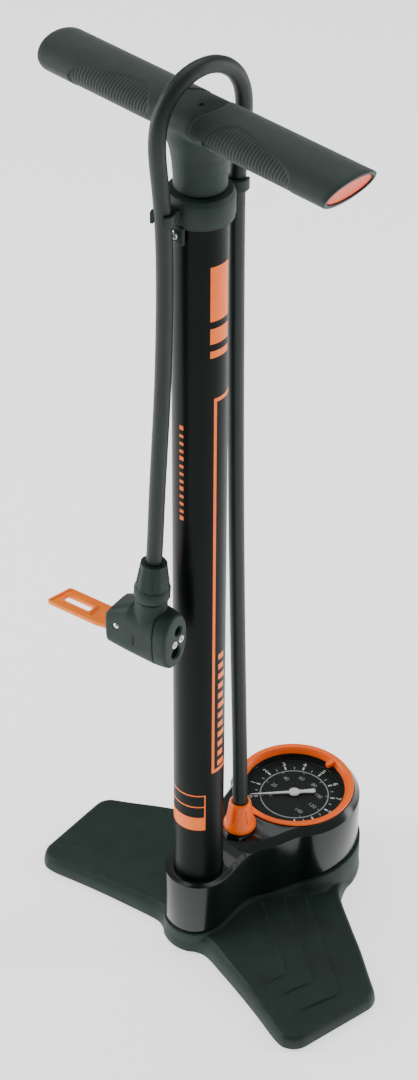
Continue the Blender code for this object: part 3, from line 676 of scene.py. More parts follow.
class PUMP_OT_inner_works(bpy.types.Operator):
    """Gives each piece that keeps its plain shape smooth faces and its own finish"""
    bl_idname = "pump.inner_works"
    bl_label = "Inner works"

    def execute(self, context):
        slots = {part["node"]: part["material_slot"] for part in frame["record"]["subparts"]}
        home = {node: body for body, nodes in frame["record"]["behaviour"]["bodies"].items()
                for node in nodes}
        for node, cad in frame["nodes"].items():
            if cad.hide_render or node == "hose":
                continue
            shape = bmesh.new()
            shape.from_mesh(cad.data)
            bmesh.ops.scale(shape, vec=(1 / MM, 1 / MM, 1 / MM), verts=shape.verts)
            bmesh.ops.remove_doubles(shape, verts=shape.verts, dist=0.002)
            made = piece("fine_" + node, shape, slots[node], home[node], [node], sharp=38.0)
        return {"FINISHED"}


# ---------------------------------------------------------------- stage
class PUMP_OT_stage(bpy.types.Operator):
    """Sets up the pale floor, the softboxes and the camera"""
    bl_idname = "pump.stage"
    bl_label = "Studio"

    def execute(self, context):
        s = settings("stage")
        scene = context.scene
        pitch, turn, roll = s.camera_pitch, s.camera_turn, s.camera_roll
        ahead = Vector((-sin(turn) * cos(pitch), cos(turn) * cos(pitch), -sin(pitch)))
        right = Vector((cos(turn), sin(turn), 0.0))
        up = right.cross(ahead)
        right, up = right * cos(roll) + up * sin(roll), up * cos(roll) - right * sin(roll)
        data = bpy.data.cameras.new("Camera")
        data.lens = s.lens
        data.sensor_width = 36.0
        data.clip_start, data.clip_end = 0.05, 40.0
        camera = bpy.data.objects.new("Camera", data)
        turned = Matrix((right, up, -ahead)).transposed().to_4x4()
        camera.matrix_world = Matrix.Translation((0.925365, -0.912745, 1.360576)) @ turned
        scene.collection.objects.link(camera)
        scene.camera = camera

        floor = bmesh.new()
        bmesh.ops.create_grid(floor, x_segments=1, y_segments=1, size=9.0)
        mesh = bpy.data.meshes.new("studio_floor")
        floor.to_mesh(mesh)
        floor.free()
        stage_floor = bpy.data.objects.new("studio_floor", mesh)
        scene.collection.objects.link(stage_floor)
        finish, tree, shader, place = new_finish("painted_studio_floor")
        shader.inputs["Base Color"].default_value = (*s.floor, 1.0)
        tree.links.new(levels(tree, grain(tree, place, 60.0), 0.85, 0.95), shader.inputs["Roughness"])
        set_shader(shader, Emission_Color=(*s.floor, 1.0), Emission_Strength=s.floor_glow)
        mesh.materials.append(finish)

        world = bpy.data.worlds.new("Studio")
        world.use_nodes = True
        sky = world.node_tree.nodes["Background"]
        sky.inputs["Color"].default_value = (*s.sky, 1.0)
        sky.inputs["Strength"].default_value = s.sky_strength
        scene.world = world
        for name, spot, aim, size, power in (
                ("Left softbox", (-1.5, -1.1, 1.1), (0, 0, 0.4), (0.9, 1.8), s.key_power),
                ("Right softbox", (1.1, 1.5, 0.9), (0, 0, 0.3), (0.5, 1.8), s.rim_power),
                ("Top softbox", (-0.5, 0.6, 2.2), (0, 0, 0.4), (1.4, 1.4), s.top_power)):
            lamp = bpy.data.lights.new(name, "AREA")
            lamp.shape = "RECTANGLE"
            lamp.size, lamp.size_y = size
            lamp.energy = power
            light = bpy.data.objects.new(name, lamp)
            light.location = spot
            light.rotation_euler = (Vector(aim) - Vector(spot)).to_track_quat("-Z", "Y").to_euler()
            scene.collection.objects.link(light)
        return {"FINISHED"}


# ---------------------------------------------------------------- base
SEAM = [(-30, 18.2), (-19, 19.0), (-10, 20.8), (5, 22.6), (30, 23.8), (55, 24.4), (67, 25.4), (80, 29.0),
        (98, 30.8), (150, 31.3)]            # how the seam climbs from the barrel to the gauge
FLANK_TOP = [(-30, 65.2), (14, 65.2), (26, 69.0), (70, 71.6), (150, 72.0)]
COVER_TOP = [(-30, 66.5), (12, 66.5), (20, 67.6), (27, 69.6), (40, 74.6), (50, 77.4), (58, 78.0), (150, 78.0)]
RIM = [(1.2, 1.2), (1.6, 0.4), (2.4, 0.0), (8.2, 0.9), (10.0, 1.6), (11.0, 2.4), (11.7, 3.5), (12.0, 4.8)]
TREADS = [(47.1, 82.7), (64.0, 96.3), (80.2, 113.7)]    # each terrace ends on these two slanted lines
PADS = [(0, 0), (120, -16), (-120, -16), (0, 128)]
SCREWS = [(13.5, 34), (-13.5, 34), (33, 119), (-33, 119)]


def mirrored(half):
    return half + [(-x, y) for x, y in reversed(half) if x > 0.01]


def flat_route(outline, spacing):
    return [(p.x, p.y) for p in smooth_route([(x, y, 0) for x, y in outline], spacing, closed=True)]


def body_outline(barrel_r, housing_r, waist, spacing=1.6):
    """Round the barrel, along the hollow flank and round the gauge."""
    gauge_y = settings("base").gauge_y / MM
    half = arc(0, 0, barrel_r, -90, 8, 9)
    half += [waist, (waist[0] + 2.2, waist[1] + 12), (waist[0] + 8, waist[1] + 24)]
    half += arc(0, gauge_y, housing_r, -42, 90, 12)
    return flat_route(mirrored(half), spacing)


def foot_outline():
    """Both swept feet and the round behind them."""
    s = settings("base")
    half = arc(0, 0, 26.0, -90, -48, 3)
    half += [(x, -13.5 - 13.7 * (x / 100) - 7.1 * (x / 100) ** 2) for x in (26, 45, 70, 92, 112)]
    half += arc(119.0, -24.2, 15.0, -82, -12, 5) + [(134.7, -20), (136.2, -9), (138.3, 6), (140.3, 20)]
    half += arc(126.5, 30.0, 15.0, 0, 62, 5) + [(128, 46.8), (117, 54.0)]
    half += [(104, 62.5), (91, 70.1), (78, 77.8), (70, 82.5), (62, 87.6), (55.5, 93.5)]
    half += arc(0, s.gauge_y / MM, s.housing_radius / MM + 2.4, 6, 90, 8)
    return flat_route(mirrored(half), 2.2)


def tread_lines(across, along):
    """The two edges of a terrace and the three flats that round its corner."""
    lines = [((0.514, 0.857), across), ((0.963, -0.27), along)]
    for share in (0.25, 0.5, 0.75):
        x, y = 0.514 + (0.963 - 0.514) * share, 0.857 + (-0.27 - 0.857) * share
        size = hypot(x, y)
        reach = (across + (along - across) * share) / size
        lines.append(((x / size, y / size), reach - 2.6 * sin(pi * share)))
    return lines


def foot_top(x, y):
    """Height of the feet: they climb to the middle in three terraces that fade to the front."""
    s = settings("base")
    rise = 4.0 * (1 - min(1.0, abs(x) / 125))
    fade = 0.15 + 0.85 * ease(-26.0, 4.0, y)
    for across, along in TREADS:
        out = max(n[0] * abs(x) + n[1] * y - reach for n, reach in tread_lines(across, along))
        rise += s.tread_step / MM * fade * min(1.0, max(0.0, 0.5 - out / 0.9))
    return s.foot_height / MM + rise


class PUMP_OT_base(bpy.types.Operator):
    """Adds the textured lower base with its two swept, terraced feet"""
    bl_idname = "pump.base"
    bl_label = "Base"

    def execute(self, context):
        s = settings("base")
        outline = foot_outline()
        feet = loft([[(x, y, z) for x, y in inset_loop(outline, inset)] for z, inset in RIM])
        cuts = [((0, 0), (1, 0))]
        for side in (1, -1):
            for across, along in TREADS:
                for (nx, ny), reach in tread_lines(across, along):
                    for edge in (-0.45, 0.45):
                        cuts.append(((side * nx * (reach + edge), ny * (reach + edge)), (side * nx, ny)))
            cuts += [((0, y), (0, 1)) for y in (-20, -12, -4, 4)]
        hollows = [brick((side * (x0 + x1) / 2, (y0 + y1) / 2, 2.0), (x1 - x0, y1 - y0, 10.0), round_by=2.0)
                   for side in (1, -1)
                   for x0, x1, y0, y1 in ((34, 58, -8, 56), (61, 85, -14, 54), (88, 106, -18, 42))]
        ways = [drum(4.2, -1, 5.3, at, steps=32) for at in SCREWS]
        seats = [drum(9.3, -1, 3.7, at, steps=48) for at in PADS]
        feet = carve(feet, *hollows, *ways, *seats)
        top = RIM[-1][0]
        for number, (place, normal) in enumerate(cuts):
            side = 0 if number == 0 else (1 if number <= (len(cuts) - 1) // 2 else -1)
            faces = [f for f in feet.faces if all(abs(v.co.z - top) < 0.01 for v in f.verts)
                     and f.calc_center_median().x * side >= 0]
            geom = set(faces)
            for face in faces:
                geom.update(face.edges)
                geom.update(face.verts)
            bmesh.ops.bisect_plane(feet, geom=list(geom), dist=0.0005, plane_co=(*place, 0),
                                   plane_no=(*normal, 0))
        for vertex in feet.verts:
            x, y, z = vertex.co
            if z > top - 0.01:
                vertex.co.z = foot_top(x, y)
            else:
                vertex.co.z += 4.0 * (1 - min(1.0, abs(x) / 125)) * ease(2.4, top, z)

        wall = body_outline(25.2, s.housing_radius / MM + 1.8, (22.5, 24))
        rings = []
        for level, inset in ((9.5, 0.0), (11.2, -3.0), (12.6, -1.5), (14.6, -0.5), (17.0, 0.0)):
            ring = []
            for (x, y), (px, py) in zip(inset_loop(wall, inset), wall):
                on_feet = ease(-16, -6, py) * (1 - ease(82, 95, py))
                lift = 4.0 * (1 - min(1.0, abs(px) / 125)) * on_feet
                ring.append((px + (x - px) * on_feet, py + (y - py) * on_feet,
                             min(level + lift, level + 3.4)))
            rings.append(ring)
        for drop, inset in ((1.1, 0.0), (0.35, 0.25), (0.0, 0.9), (0.0, 3.2), (3.0, 3.4)):
            rings.append([(x, y, between(SEAM, y) - drop) for x, y in inset_loop(wall, inset)])
        piece("lower_base", merge(feet, loft(rings)), "textured_plastic", "pump_stand", ["base_plate"],
              sharp=36)
        return {"FINISHED"}


class PUMP_OT_cover(bpy.types.Operator):
    """Adds the polished upper cover: cup, hollow flanks, chamfered rim and the gauge's seat"""
    bl_idname = "pump.cover"
    bl_label = "Cover"

    def execute(self, context):
        s = settings("base")
        at_gauge = (0, s.gauge_y / MM)
        wall = body_outline(s.cup_radius / MM, s.housing_radius / MM, (21.5, 24), 1.2)
        # level 0 is the seam, 1 the flank's upper edge, 2 the flat top
        steps = [(0.0, 0.9), (0.015, 0.35), (0.05, 0.0), (0.97, 0.0), (1.0, 0.15), (1.08, 0.7), (1.85, 3.3),
                 (1.97, 3.8), (2.0, 4.6)]
        shell = loft([[(x, y, level) for x, y in inset_loop(wall, inset)] for level, inset in steps])
        for y in range(-12, 64, 3):
            bmesh.ops.bisect_plane(shell, geom=shell.verts[:] + shell.edges[:] + shell.faces[:], dist=0.0005,
                                   plane_co=(0, y, 0), plane_no=(0, 1, 0))
        for vertex in shell.verts:
            y, level = vertex.co.y, vertex.co.z
            low, edge, top = between(SEAM, y) + 0.7, between(FLANK_TOP, y), between(COVER_TOP, y)
            vertex.co.z = low + (edge - low) * level if level <= 1 else edge + (top - edge) * (level - 1)
        nut_y = settings("hose").nut_y / MM
        boss = drum(15.2, 60, 75.3, (0, nut_y), top_radius=12.4, steps=8)
        bmesh.ops.bevel(boss, geom=boss.edges[:], offset=0.8, affect="EDGES", segments=3, profile=0.5,
                        material=-1)
        shell = fuse(shell, boss)
        inside = loft([[(x, y, z) for x, y in inset_loop(wall, 3.0)] for z in (5, 46)])
        shell = carve(shell, inside, drum(s.barrel_radius / MM + 0.4, 30, 90),
                      drum(38.6, 40, 90, at_gauge), drum(41.7, 74.9, 90, at_gauge),
                      drum(11.9, 75.6, 95, (0, nut_y)), drum(4.6, 30, 90, (0, nut_y), steps=32))
        piece("upper_cover", shell, "gloss_plastic", "pump_stand", ["base_cover"], bevel=0.35, sharp=34)
        return {"FINISHED"}


# ---------------------------------------------------------------- barrel
def printed_patch(angle0, angle1, z0, z1, proud=0.06):
    """A strip of ink wrapped on the barrel, with its angles in degrees."""
    radius = settings("base").barrel_radius / MM
    bm = bmesh.new()
    turn = radians(angle0)
    corners = [bm.verts.new((r * cos(turn), r * sin(turn), z))
               for r, z in ((radius - 0.05, z0), (radius + proud, z0), (radius + proud, z1),
                            (radius - 0.05, z1))]
    face = bmesh.ops.contextual_create(bm, geom=corners)["faces"]
    steps = max(2, int(abs(angle1 - angle0) / 3))
    bmesh.ops.spin(bm, geom=face, cent=(0, 0, 0), axis=(0, 0, 1), angle=radians(angle1 - angle0),
                   steps=steps)
    return bm


class PUMP_OT_barrel(bpy.types.Operator):
    """Adds the enamelled barrel and its plain printed marks"""
    bl_idname = "pump.barrel"
    bl_label = "Barrel"

    def execute(self, context):
        s = settings("base")
        radius, foot, top = s.barrel_radius / MM, s.barrel_foot / MM, s.barrel_top / MM
        wall = [(radius, foot + 0.5), (radius, top - 0.5), (radius - 0.4, top), (15.9, top), (15.9, foot),
                (radius - 0.4, foot)]
        piece("barrel_tube", lathe(wall, steps=128), "barrel_enamel", "pump_stand", ["barrel"])
        # a bracket line, a panel of three rows, three plain blocks and two rows of short dashes
        marks = [printed_patch(-14.6, -7.8, 167, 478), printed_patch(-14.6, 42, 475.2, 478),
                 printed_patch(-14.6, 42, 167, 169.8)]
        for z0, z1 in ((147.4, 148.4), (137.0, 138.0), (126.6, 127.6)):
            marks.append(printed_patch(-150, -29, z0, z1))
        marks += [printed_patch(-32, -29, 115.5, 148.4), printed_patch(-150, -29, 115.5, 127.0, 0.05)]
        for low, high in ((508, 513), (518, 529), (534, 572)):
            marks.append(printed_patch(-24, 26, low, high))
        for k in range(13):
            tall = 3.6 if k % 4 else 5.2
            marks.append(printed_patch(-90, -80, 384 + 5.8 * k, 384 + 5.8 * k + tall * 0.6))
        for k in range(12):
            marks.append(printed_patch(2, 20 if k % 3 else 26, 172 + 8.6 * k, 172 + 8.6 * k + 4.6))
        piece("barrel_print", merge(*marks), "orange_ink", "pump_stand", sharp=50)
        return {"FINISHED"}


# ---------------------------------------------------------------- gauge and nut
def numeral(text, height, place, z, turn=0.0, fat=0.0, thick=0.12):
    """One dial number, turned and centred on its place."""
    curve = bpy.data.curves.new("numeral", "FONT")
    curve.body = text
    curve.size = height * 1.38
    curve.align_x, curve.align_y = "CENTER", "CENTER"
    curve.extrude = thick / 2
    curve.offset = height * fat
    curve.resolution_u = 4
    obj = bpy.data.objects.new("numeral", curve)
    bpy.context.scene.collection.objects.link(obj)
    shape = bmesh.new()
    shape.from_mesh(obj.evaluated_get(bpy.context.evaluated_depsgraph_get()).to_mesh())
    bpy.data.objects.remove(obj)
    bpy.data.curves.remove(curve)
    bmesh.ops.rotate(shape, cent=(0, 0, 0), matrix=Matrix.Rotation(turn, 3, "Z"), verts=shape.verts)
    bmesh.ops.translate(shape, vec=(*place, z), verts=shape.verts)
    return shape


def about_gauge(gauge_y, turn):
    """The turn about the gauge's own axis that sets a mark, the needle or the marker tab."""
    return Matrix.Translation((0, gauge_y, 0)) @ Matrix.Rotation(turn, 4, "Z")


class PUMP_OT_gauge(bpy.types.Operator):
    """Adds the dial's two printed scales, the needle, the lens and the orange bezel"""
    bl_idname = "pump.gauge"
    bl_label = "Gauge"

    def execute(self, context):
        s = settings("gauge")
        gauge_y = settings("base").gauge_y / MM
        at = (0, gauge_y)
        dial_z = 68.7

        def on_dial(radius, turn):
            return radius * cos(turn), gauge_y + radius * sin(turn)

        dial = lathe([(s.dial_radius / MM, dial_z - 0.8), (s.dial_radius / MM, dial_z - 0.15),
                      (s.dial_radius / MM - 0.15, dial_z), (1.7, dial_z), (1.7, dial_z - 0.8)], at)
        piece("printed_dial", dial, "dial", "pump_stand", ["dial_plate"])
        liner = lathe([(37.1, 68.8), (37.1, 75.1), (36.4, 75.1), (36.4, 68.8)], at)
        piece("dial_surround", liner, "dial", "pump_stand")
        circle = s.circle_radius / MM
        marks = [lathe([(circle + 0.45, dial_z - 0.1), (circle + 0.45, dial_z + 0.05),
                        (circle - 0.45, dial_z + 0.05), (circle - 0.45, dial_z - 0.1)], at)]
        tail = []
        for tick in range(s.bars * 2 + 1):
            turn = s.zero - s.per_bar * tick / 2
            big = tick % 2 == 0
            inner, outer, wide = (26.7, 29.8, 1.2) if big else (27.0, 29.0, 0.45)
            mark = brick(((inner + outer) / 2, 0, dial_z), (outer - inner, wide, 0.16))
            bmesh.ops.transform(mark, matrix=about_gauge(gauge_y, turn),
                                verts=mark.verts)
            marks.append(mark)
            if big:
                marks.append(numeral(str(tick // 2), 3.9, on_dial(32.5, turn), dial_z, turn - pi / 2, 0.02))
        for value in range(0, 141, 20):
            turn = s.zero - s.per_bar * value / 14.504
            tail.append(numeral(str(value), 3.3, on_dial(17.6, turn), dial_z))
            mark = brick((23.6, 0, dial_z), (1.6, 0.5, 0.14))
            bmesh.ops.transform(mark, matrix=about_gauge(gauge_y, turn),
                                verts=mark.verts)
            tail.append(mark)
        pale = marks.pop(0)
        piece("outer_scale", merge(*marks), "white_plastic", "pump_stand", sharp=50)
        piece("inner_scale", merge(pale, *tail), "grey_ink", "pump_stand", sharp=50)

        tip, back = s.needle_tip / MM, s.needle_tail / MM
        pointer = bmesh.new()
        side = [(-back, 0), (-back, 1.5), (-back + 1.2, 2.1), (-5.4, 2.1), (-3.4, 1.25), (0, 1.25),
                (tip - 4, 0.5),
                (tip, 0.12)]
        corners = [pointer.verts.new((x, y, 70.6)) for x, y in side]
        corners += [pointer.verts.new((x, -y, 70.6)) for x, y in reversed(side) if y]
        face = bmesh.ops.contextual_create(pointer, geom=corners)["faces"]
        thick = bmesh.ops.extrude_face_region(pointer, geom=face)
        bmesh.ops.translate(pointer, vec=(0, 0, 0.8),
                            verts=[g for g in thick["geom"] if isinstance(g, bmesh.types.BMVert)])
        bmesh.ops.transform(pointer, matrix=about_gauge(gauge_y, s.zero),
                            verts=pointer.verts)
        hub = lathe([(0, 58.0), (1.1, 58.0), (1.1, 70.4), (4.1, 70.5), (4.1, 71.3), (3.3, 72.0),
                     (0, 72.2)], at)
        piece("pointer", merge(pointer, hub), "white_plastic", "needle", ["gauge_needle"], bevel=0.12)

        bezel = lathe([(43.6, 78.5), (43.6, 79.0), (43.1, 79.5), (40.9, 79.8), (39.6, 79.5), (37.0, 76.0),
                       (36.9, 75.3), (41.2, 75.2), (41.2, 78.4)], at, 128)
        tab = brick((37.6, 0, 77.6), (11.0, 3.4, 3.6), round_by=0.6)
        bmesh.ops.transform(tab, matrix=about_gauge(gauge_y, s.marker),
                            verts=tab.verts)
        piece("bezel_ring", fuse(bezel, tab), "orange_plastic", "bezel", ["gauge_bezel"], bevel=0.18)
        lens = lathe([(0, 73.0), (36.0, 73.0), (36.3, 73.3), (36.3, 73.9), (36.0, 74.2), (0, 74.25)], at)
        piece("lens", lens, "clear_lens", "pump_stand", ["gauge_lens"])
        return {"FINISHED"}


class PUMP_OT_nut(bpy.types.Operator):
    """Adds the orange hose nut with its finger slots"""
    bl_idname = "pump.nut"
    bl_label = "Hose nut"

    def execute(self, context):
        at = (0, settings("hose").nut_y / MM)
        nut = lathe([(5.7, 100.0), (6.9, 100.0), (7.7, 99.2), (9.9, 84.4), (10.4, 82.4), (11.4, 80.4),
                     (11.7, 79.2),
                     (11.7, 77.2), (11.2, 76.3), (5.7, 76.0)], at)
        slots = []
        for k in range(6):
            turn = radians(60 * k - 75)
            slot = brick((9.9, 0, 90.6), (3.4, 1.5, 12.0), round_by=0.6)
            bmesh.ops.rotate(slot, cent=(9.9, 0, 90.6), matrix=Matrix.Rotation(radians(-8.5), 3, "Y"),
                             verts=slot.verts)
            bmesh.ops.transform(slot, matrix=Matrix.Translation((*at, 0)) @ Matrix.Rotation(turn, 4, "Z"),
                                verts=slot.verts)
            slots.append(slot)
        piece("orange_hose_nut", carve(nut, *slots), "orange_plastic", "pump_stand", ["hose_nut"], bevel=0.25)
        return {"FINISHED"}


# ---------------------------------------------------------------- collar and handle
class PUMP_OT_collar(bpy.types.Operator):
    """Adds the collar on the barrel's top, with its tongue and both hose clips"""
    bl_idname = "pump.collar"
    bl_label = "Collar"

    def execute(self, context):
        s = settings("handle")
        outer, clip_y = s.collar_radius / MM, s.clip_y / MM
        barrel = settings("base").barrel_radius / MM
        collar = lathe([(8.4, 617.4), (18.8, 617.4), (19.5, 617.0), (20.7, 614.6), (outer, 613.4),
                        (outer, 601.6),
                        (20.5, 600.4), (20.5, 598.8), (barrel + 0.3, 598.8), (barrel + 0.3,
                                                                              608.0), (8.4, 608.0)])
        tongue = brick((0, -19.6, 594.0), (13.0, 2.9, 12.4), round_by=1.1)
        collar = carve(fuse(collar, tongue), bar((0, -10, 593.6), (0, -30, 593.6), 1.8))
        claws = []
        for side in (-1, 1):
            y = side * clip_y
            claw = open_ring([(5.5, 604.8), (5.9, 604.4), (7.2, 604.4), (7.7, 604.9), (7.7, 611.9),
                              (7.2, 612.4),
                              (5.9, 612.4), (5.5, 612.0)], radians(90 * side + 50), radians(260))
            bmesh.ops.translate(claw, vec=(0, y, 0), verts=claw.verts)
            claws += [claw, brick((0, side * 21.9, 608.4), (9.0, 6.0, 7.4), round_by=1.0)]
        collar = merge(collar, *claws)
        piece("top_collar", collar, "textured_plastic", "pump_stand", ["barrel_collar"], bevel=0.35)
        screw = bar((0, -18.0, 593.6), (0, -21.4, 593.6), 1.5, 32)
        head = lathe([(0, 0.0), (2.9, 0.0), (2.9, 0.6), (2.3, 1.2), (0, 1.35)], steps=40)
        head = carve(head, drum(1.3, 0.5, 3, steps=6))
        bmesh.ops.transform(head, matrix=Matrix.Translation((0, -21.15,
                                                             593.6)) @ Matrix.Rotation(radians(90), 4, "X"),
                            verts=head.verts)
        piece("collar_hex_screw", merge(screw, head), "zinc_steel", "pump_stand", ["collar_screw"], bevel=0.1)
        return {"FINISHED"}


GRIP_START = [(0, 14.9), (10, 14.7), (20, 13.4), (30, 11.6), (40, 10.2), (50, 9.8), (80, 9.9), (88, 11.5),
              (95, 15.5), (102, 20.0), (110, 23.4), (120, 25.0), (180, 25.2)]   # degrees from the top, reach
PANEL_TOP = [(21, 262), (22.5, 172), (25.3, 147), (28.9, 128), (33, 113.5), (38, 108), (50, 111.5), (60, 121),
             (72, 132), (80, 140), (86, 154), (90, 174), (91, 262)]     # reach, degrees of the panel's edge


def oval(x, grow, lean, count=96):
    """An outline across the handle's bar; lean tips it so that its top reaches further out."""
    s = settings("handle")
    a, b = s.half_depth / MM + grow, s.half_thickness / MM + grow
    turns = [2 * pi * k / count for k in range(count)]
    return [(x + lean * b * sin(t), a * cos(t), s.height / MM + b * sin(t)) for t in turns]


def joint_reach(turn):
    """How far out a grip starts: it wraps in over the saddle and sweeps back under the bar."""
    return between(GRIP_START, abs((turn + 90) % 360 - 180))


def grip_end(side, shift, grow, count=96):
    """The outline where a grip starts."""
    return [(side * (joint_reach(360 * k / count) + shift), y, z)
            for k, (_, y, z) in enumerate(oval(0, grow, 0, count))]


class PUMP_OT_handle(bpy.types.Operator):
    """Adds the handle's core: a smooth saddle that flows down into the rod's hub"""
    bl_idname = "pump.handle"
    bl_label = "Handle core"

    def execute(self, context):
        rings = [oval(-100, -4.3, 0), oval(-31, -4.3, 0), oval(-30, -1.5, 0)]
        rings += [grip_end(side, shift, grow) for side, shift, grow in (
            (-1, 1.6, -1.5), (-1, 0.9, -0.35), (1, 0.9, -0.35), (1, 1.6, -1.5))]
        core = loft(rings + [oval(30, -1.5, 0), oval(31, -4.3, 0), oval(100, -4.3, 0)])
        hub = loft([[(rx * cos(t), ry * sin(t), z) for t in [2 * pi * k / 72 for k in range(72)]]
                    for rx, ry, z in ((15.6, 15.6, 617.7), (16.2, 16.2, 618.4), (16.4, 16.3, 626),
                                      (17.1, 16.9, 635),
                                      (18.6, 17.9, 643), (21.5, 19.0, 649), (25.0, 19.4, 653), (26.0,
                                                                                                19.4, 662))])
        body = melt(fuse(core, hub), 0.9, 8)
        socket = lathe([(0, 640.0), (5.3, 640.0), (5.3, 600.0), (0, 600.0)], steps=48)
        dimple = lathe([(0, 676), (2.4, 676), (1.6, 672.6), (0, 672.2)], (4.5, -3.5), 32)
        piece("handle_saddle", carve(body, socket, dimple), "textured_plastic", "handle",
              ["handle_core"], sharp=50)
        return {"FINISHED"}


class PUMP_OT_grips(bpy.types.Operator):
    """Adds both soft grips, with their recessed ribbed panels, and the end plugs"""
    bl_idname = "pump.grips"
    bl_label = "Grips"

    def execute(self, context):
        s = settings("handle")
        tip, start = s.half_length / MM, 10.0
        pitch, depth = s.rib_pitch / MM, s.rib_depth / MM
        count = 120
        for side, label in ((-1, "left"), (1, "right")):
            stations = [(start, -1.4), (start + 0.1, -0.5), (start + 0.7, 0.0)]
            x = start + 1.6
            while x < tip - 22:
                stations.append((x, 0.0))
                x += pitch / 5
            stations += [(x + k * 2.4, 0.0) for k in range(8)]
            stations = [st for st in stations if st[0] < tip - 1.4]
            stations += [(tip - 0.9, 0.0), (tip - 0.3, -0.25), (tip, -0.9), (tip, -2.4), (tip - 0.5, -2.85),
                         (tip - 6.0, -2.9), (tip - 7.0, -3.7), (start, -3.7)]
            rings = []
            for number, (place, grow) in enumerate(stations):
                lean = s.end_slant * ease(62, tip - 8, place) * side
                ring = []
                for k, (px, py, pz) in enumerate(oval(side * place, grow, lean, count)):
                    turn = 360 * k / count
                    reach = place + (joint_reach(turn) - start) * (1 - ease(start, 46, place))
                    px += side * (reach - place)
                    # the ribbed panel faces the front and runs round underneath
                    inside = ease(0, 4, turn - between(PANEL_TOP, reach)) * ease(0, 6, 250 - turn)
                    if grow == 0 and inside > 0:
                        drop = inside * (0.3 + depth * (0.5 + 0.5 * cos(2 * pi * reach / pitch)))
                        py -= drop * cos(radians(turn))
                        pz -= drop * sin(radians(turn))
                    ring.append((px, py, pz))
                rings.append(ring)
            piece("soft_grip_" + label, loft(rings, closed=True), "grip", "handle", ["grip_" + label],
                  sharp=55)
            plug = loft([oval(side * (tip + step), grow, side * s.end_slant)
                         for step, grow in ((-4.6, -3.2), (-1.5, -3.1), (-1.1, -3.3), (-1.0, -4.0),
                                            (-1.25, -6.5))])
            piece("end_plug_" + label, plug, "coral_plastic", "handle", ["end_cap_" + label], sharp=50)
        return {"FINISHED"}


# ---------------------------------------------------------------- valve head
def in_head(shape):
    """From the head's own axes, u along it to the valve face and v across, to the pump's."""
    s = settings("head")
    place = Matrix.Translation(Vector(s.place) / MM) @ Matrix.Rotation(s.yaw, 4, "Z")
    bmesh.ops.transform(shape, matrix=place, verts=shape.verts)
    return shape


def on_neck(shape):
    """From the leaning neck's own axes to the pump's; heights count from the neck's top."""
    s = settings("head")
    foot = Matrix.Translation(Vector(s.place) / MM + Vector((0, 0, s.sleeve_foot / MM)))
    bmesh.ops.transform(shape, matrix=foot @ Matrix.Rotation(-s.lean, 4, "X"), verts=shape.verts)
    return shape


def head_ring(u, half, low, high, square, count=56):
    """A rounded-square outline across the head."""
    points = []
    for k in range(count):
        c, s = cos(2 * pi * k / count), sin(2 * pi * k / count)
        points.append((u, half * (1 if c > 0 else -1) * abs(c) ** square,
                       (low + high) / 2 + (high - low) / 2 * (1 if s > 0 else -1) * abs(s) ** square))
    return points


